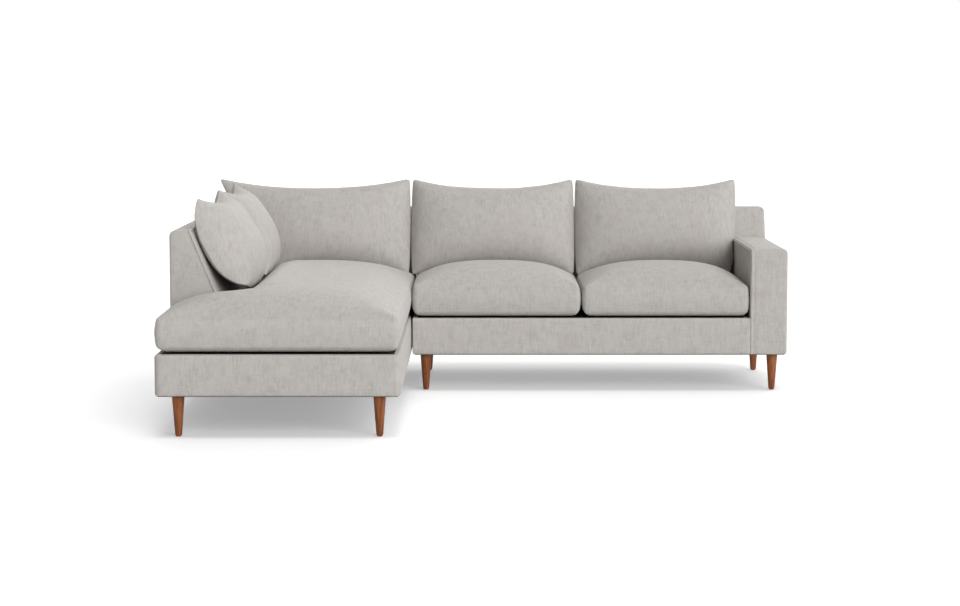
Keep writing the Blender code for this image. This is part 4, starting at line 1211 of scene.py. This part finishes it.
def make_clear(piece, others, gap):
    """Press a soft piece back wherever it reaches into what it rests on."""
    for other in others:
        tree = CONTACTS.get(other.name) or surface(other)
        for vert in piece.data.vertices:
            near, normal, _, distance = tree.find_nearest(vert.co, SUPPORT_SEARCH)
            if near is None:
                continue
            height = (vert.co - near).dot(normal)
            if height < gap and distance < SUPPORT_DEPTH:
                vert.co += normal * (gap - height)
    piece.data.update()


def pillow_seam(shape):
    """Points round the seam of a cushion that is drawn flat."""
    corners = [(-1.0, -1.0), (1.0, -1.0), (1.0, 1.0), (-1.0, 1.0)]
    line = []
    for (u, v), (next_u, next_v) in zip(corners, corners[1:] + corners[:1]):
        for step in range(SEAM_POINTS):
            part = step / SEAM_POINTS
            place = (u + (next_u - u) * part, v + (next_v - v) * part, 0.0)
            line.append(pillow_point(place, *shape))
    return line


def seam_bead(piece, line):
    """The ridge of a seam, along the places on a cushion that lie nearest to a line."""
    tree = surface(piece)
    kept = [tree.find_nearest(line[0])[0]]
    for point in line[1:]:
        near = tree.find_nearest(point)[0]
        if (near - kept[-1]).length > SEAM_STEP:
            kept.append(near)
    return tube(kept, bpy.context.scene.sofa_pillows.seam, True)


def pillow(node, shape, turned, anchor, supports, moved=UNMOVED):
    """A knife-edged cushion, full in front and flatter behind, drawn in between its pointed corners.

    shape is the size, depths, cuts and thin_left that pillow_point draws from. anchor tells which place in
    the box of the node the cushion is set by, as a share of the box on each axis. A cushion that slumps is
    set by its seam, any other by its whole form.
    """
    sizes = bpy.context.scene.sofa_pillows
    size, (front, rear, sag), cuts, thin_left = shape
    shape = (size, (front * sizes.slack, rear * sizes.slack, sag), cuts, thin_left)
    form = bmesh.new()
    bmesh.ops.create_cube(form, size=2.0)
    for axis in (0, 1):
        for step in range(1, sizes.bays):
            cut(form, axis, math.sin(math.pi * (step / sizes.bays - 0.5)))
    for vert in form.verts:
        vert.co = pillow_point(vert.co, *shape)
    line = pillow_seam(shape)
    piece = add_piece(f"{node}_stuffed", form)
    subdivide(piece, 3)
    piece.data.transform(turned)
    low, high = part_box(node)
    places = [turned @ point for point in line] if sag else [vert.co for vert in piece.data.vertices]
    least = Vector([min(place[axis] for place in places) for axis in range(3)])
    most = Vector([max(place[axis] for place in places) for axis in range(3)])
    shift = (low - least) * (Vector((1, 1, 1)) - anchor) + (high - most) * anchor + Vector(moved)
    shift = Matrix.Translation(shift)
    piece.data.transform(shift)
    tree = surface(piece)
    line = [tree.find_nearest(shift @ turned @ point)[0] for point in line]
    seam_line = point_tree(line)
    sewn = [vert.index for vert in piece.data.vertices if seam_line.find(vert.co)[2] < SEAM_HOLD]
    fill_out(piece, sewn, sizes.cap)
    subdivide(piece, 1)
    gather(piece, seam_line)
    make_clear(piece, supports, sizes.gap)
    sew_on(piece, [seam_bead(piece, line)])
    finish_piece(piece, node, node, finish("cushion_fabric"))
    return piece


def pieces_named(*names):
    return [bpy.data.objects[name] for name in names]


class SOFA_OT_back_cushions(Operator):
    """Stuff the three back cushions"""

    bl_idname = "sofa.back_cushions"
    bl_label = "Back Cushions"

    def execute(self, context):
        sizes = context.scene.sofa_pillows
        turned = Euler((math.pi / 2 - sizes.rake, 0.0, 0.0)).to_matrix().to_4x4()
        depths = (sizes.back_front, sizes.back_rear, 0.0)
        anchor = Vector((0.5, 1.0, 1.0))
        size = (sizes.back_width, sizes.back_height)
        corner_size = (sizes.corner_width, sizes.back_height)
        arm_cuts = (0.0, sizes.arm_taper, sizes.arm_corner, 0.0)
        corner_cuts = (sizes.corner_taper, 0.0, 0.0, 0.0)
        up = (0.0, 0.0, sizes.back_rise)
        aside = (-sizes.arm_shift, 0.0, sizes.back_rise)
        sofa_covers = ("sofa_back_cover", "sofa_arm_cover")
        bumper_covers = ("bumper_back_cover", "bumper_side_back_cover")
        cushions = {
            "sofa_back_cushion_left": ((size, depths, NO_CUTS, 1.0), up, sofa_covers),
            "sofa_back_cushion_right": ((size, depths, arm_cuts, 1.0), aside, sofa_covers),
            "bumper_back_cushion": ((corner_size, depths, corner_cuts, sizes.corner_fill), up, bumper_covers),
        }
        for node, (shape, moved, covers) in cushions.items():
            seat = node.replace("_back_", "_seat_")
            supports = pieces_named(*(f"{cover}_upholstery" for cover in covers), f"{seat}_stuffed")
            pillow(node, shape, turned, anchor, supports, moved)
        return {"FINISHED"}


class SOFA_OT_side_cushions(Operator):
    """Stuff the two cushions that lean on the side back"""

    bl_idname = "sofa.side_cushions"
    bl_label = "Side Cushions"

    def execute(self, context):
        sizes = context.scene.sofa_pillows
        turned = Euler((math.pi / 2 - sizes.lean, 0.0, math.pi / 2)).to_matrix().to_4x4()
        supports = pieces_named(
            "bumper_side_back_cover_upholstery",
            "bumper_seat_cushion_stuffed",
            "bumper_back_cushion_stuffed",
        )
        depths = (sizes.side_front, sizes.side_rear, sizes.side_sag)
        anchor = Vector((0.0, 0.5, 1.0))
        cushions = {
            "bumper_side_cushion_rear": (sizes.rear_length, sizes.tip_round),
            "bumper_side_cushion_front": (sizes.front_length, sizes.foot_round),
        }
        for node, (width, foot) in cushions.items():
            shape = ((width, sizes.side_height), depths, (0.0, 0.0, 0.0, foot), 1.0)
            supports.append(pillow(node, shape, turned, anchor, supports))
        return {"FINISHED"}


# Legs and what is hidden


class SOFA_OT_legs(Operator):
    """Turn the eight legs, each with its glide and hanger bolt"""

    bl_idname = "sofa.legs"
    bl_label = "Legs"

    def execute(self, context):
        sizes = context.scene.sofa_legs
        for node in sorted(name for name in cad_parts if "_leg_front_" in name or "_leg_rear_" in name):
            if node.endswith("_block"):
                continue
            low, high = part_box(node)
            self.turn_leg(node, (low + high) / 2, high.z, sizes)
        return {"FINISHED"}

    def turn_leg(self, node, middle, top, sizes):
        shoulder = BASE_BOTTOM - sizes.recess
        ease = sizes.ease
        facet = ease * FACET
        foot = sizes.glide_height
        profile = [
            (0.0, top),
            (sizes.bolt / 2 - ease, top),
            (sizes.bolt / 2, top - ease),
            (sizes.bolt / 2, shoulder),
            (sizes.top / 2 - ease, shoulder),
            (sizes.top / 2 - facet, shoulder - facet),
            (sizes.top / 2, shoulder - ease),
            (sizes.top / 2, shoulder - sizes.neck),
            (sizes.foot / 2 + ease * FLARE, foot + 2 * ease),
            (sizes.foot / 2, foot + ease),
            (sizes.foot / 2 - facet, foot + facet),
            (sizes.foot / 2 - ease, foot),
            (sizes.glide / 2, foot),
            (sizes.glide / 2, ease),
            (sizes.glide / 2 - facet, facet),
            (sizes.glide / 2 - ease, 0.0),
            (0.0, 0.0),
        ]
        form = bmesh.new()
        verts = [form.verts.new((middle.x + radius, middle.y, height)) for radius, height in profile]
        edges = [form.edges.new(pair) for pair in zip(verts, verts[1:])]
        axis_point = (middle.x, middle.y, 0.0)
        bmesh.ops.spin(
            form,
            geom=verts + edges,
            cent=axis_point,
            axis=UPWARD,
            angle=2 * math.pi,
            steps=sizes.steps,
            use_merge=True,
        )
        bmesh.ops.remove_doubles(form, verts=form.verts, dist=MERGED)
        bmesh.ops.recalc_face_normals(form, faces=form.faces)
        for face in form.faces:
            height = face.calc_center_median().z
            face.material_index = 1 if height > shoulder + TOUCH or height < foot + HAIR else 0
        piece = add_piece(f"{node}_turned", form)
        finish_piece(piece, node.split("_")[0], node, finish("leg_wood"))
        piece.data.materials.append(finish("spring_steel"))
        piece.data.set_sharp_from_angle(angle=math.radians(50))


class SOFA_OT_hidden_finishes(Operator):
    """Give the frame, springs, pads, dust covers and clips their finishes"""

    bl_idname = "sofa.hidden_finishes"
    bl_label = "Hidden Finishes"

    def execute(self, context):
        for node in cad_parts.values():
            slot = node.data.materials[0].name
            node.data.materials[0] = finish(slot)
        return {"FINISHED"}


# Studio


def light_path_switch(tree):
    """One where the camera, a reflection or a refraction looks, and nought where light is gathered."""
    path = add_node(tree, "ShaderNodeLightPath")
    seen = calculate(tree, "ADD", path.outputs["Is Camera Ray"], path.outputs["Is Glossy Ray"])
    return calculate(tree, "MINIMUM", calculate(tree, "ADD", seen, path.outputs["Is Transmission Ray"]), 1.0)


def broad_light(name, strength, aim):
    """A wide far light, the same all over the floor."""
    round_angle, up_angle, broadness = (math.radians(angle) for angle in aim)
    light = bpy.data.lights.new(name, "SUN")
    light.energy = strength
    light.angle = broadness
    lamp = bpy.data.objects.new(name, light)
    lamp.rotation_euler = (math.pi / 2 - up_angle, 0.0, round_angle)
    bpy.context.scene.collection.objects.link(lamp)


class SOFA_OT_stage(Operator):
    """Set up the floor, light and camera"""

    bl_idname = "sofa.stage"
    bl_label = "Stage"

    def execute(self, context):
        scene = context.scene
        stage = scene.sofa_stage
        self.add_floor(stage)
        self.light_world(scene, stage)
        for name, aim in LIGHTS.items():
            broad_light(f"{name}_light", getattr(stage, name), aim)
        lens = bpy.data.cameras.new("camera")
        lens.lens = stage.lens
        lens.sensor_width = 36.0
        lens.sensor_fit = "HORIZONTAL"
        camera = bpy.data.objects.new("camera", lens)
        camera.location = stage.camera_place
        camera.rotation_euler = (math.pi / 2 - stage.camera_pitch, 0.0, 0.0)
        scene.collection.objects.link(camera)
        scene.camera = camera
        scene.view_settings.view_transform = "Standard"
        return {"FINISHED"}

    def add_floor(self, stage):
        form = bmesh.new()
        bmesh.ops.create_grid(form, x_segments=4, y_segments=4, size=30.0)
        floor = add_piece("floor", form)
        material, tree, shader = new_finish("floor_finish")
        seen = light_path_switch(tree)
        shown = blend_colours(tree, seen, stage.floor_colour, stage.floor_shown)
        glow = calculate(tree, "MULTIPLY", seen, stage.floor_glow)
        set_sockets(tree, shader, {"Base Color": shown, "Roughness": 1.0, "Specular IOR Level": 0.0})
        set_sockets(tree, shader, {"Emission Color": WHITE, "Emission Strength": glow})
        floor.data.materials.append(material)

    def light_world(self, scene, stage):
        world = bpy.data.worlds.new("studio")
        world.use_nodes = True
        scene.world = world
        tree = world.node_tree
        strength = blend_values(tree, light_path_switch(tree), stage.ambient, 1.0)
        set_sockets(tree, tree.nodes["Background"], {"Color": WHITE, "Strength": strength})


OPERATORS = (
    SOFA_OT_base_covers,
    SOFA_OT_back_covers,
    SOFA_OT_arm_cover,
    SOFA_OT_sofa_seat_cushions,
    SOFA_OT_bumper_seat_cushion,
    SOFA_OT_back_cushions,
    SOFA_OT_side_cushions,
    SOFA_OT_legs,
    SOFA_OT_hidden_finishes,
    SOFA_OT_stage,
)


class SOFA_PT_panel(Panel):
    """Sizes, colours and steps of the sofa"""

    bl_idname = "SOFA_PT_panel"
    bl_label = "Bumper Sectional Sofa"
    bl_space_type = "VIEW_3D"
    bl_region_type = "UI"
    bl_category = "Sofa"

    def draw(self, context):
        layout = self.layout
        for name in SETTINGS:
            settings = getattr(context.scene, name)
            box = layout.box()
            box.label(text=name.replace("_", " ").capitalize())
            for prop in settings.__annotations__:
                box.prop(settings, prop)
        for operator in OPERATORS:
            layout.operator(operator.bl_idname)


SETTINGS = {
    "sofa_covers": CoverSizes,
    "sofa_seats": SeatSizes,
    "sofa_pillows": PillowSizes,
    "sofa_legs": LegSizes,
    "sofa_colours": Colours,
    "sofa_stage": StageSettings,
}


def register():
    for name, group in SETTINGS.items():
        bpy.utils.register_class(group)
        setattr(bpy.types.Scene, name, PointerProperty(type=group))
    for operator in OPERATORS:
        bpy.utils.register_class(operator)
    bpy.utils.register_class(SOFA_PT_panel)


def unregister():
    bpy.utils.unregister_class(SOFA_PT_panel)
    for operator in reversed(OPERATORS):
        bpy.utils.unregister_class(operator)
    for name, group in reversed(SETTINGS.items()):
        delattr(bpy.types.Scene, name)
        bpy.utils.unregister_class(group)


def main():
    register()
    bpy.ops.sofa.base_covers()
    bpy.ops.sofa.back_covers()
    bpy.ops.sofa.arm_cover()
    bpy.ops.sofa.sofa_seat_cushions()
    bpy.ops.sofa.bumper_seat_cushion()
    bpy.ops.sofa.back_cushions()
    bpy.ops.sofa.side_cushions()
    bpy.ops.sofa.legs()
    bpy.ops.sofa.hidden_finishes()
    bpy.ops.sofa.stage()


if __name__ == "__main__":
    main()
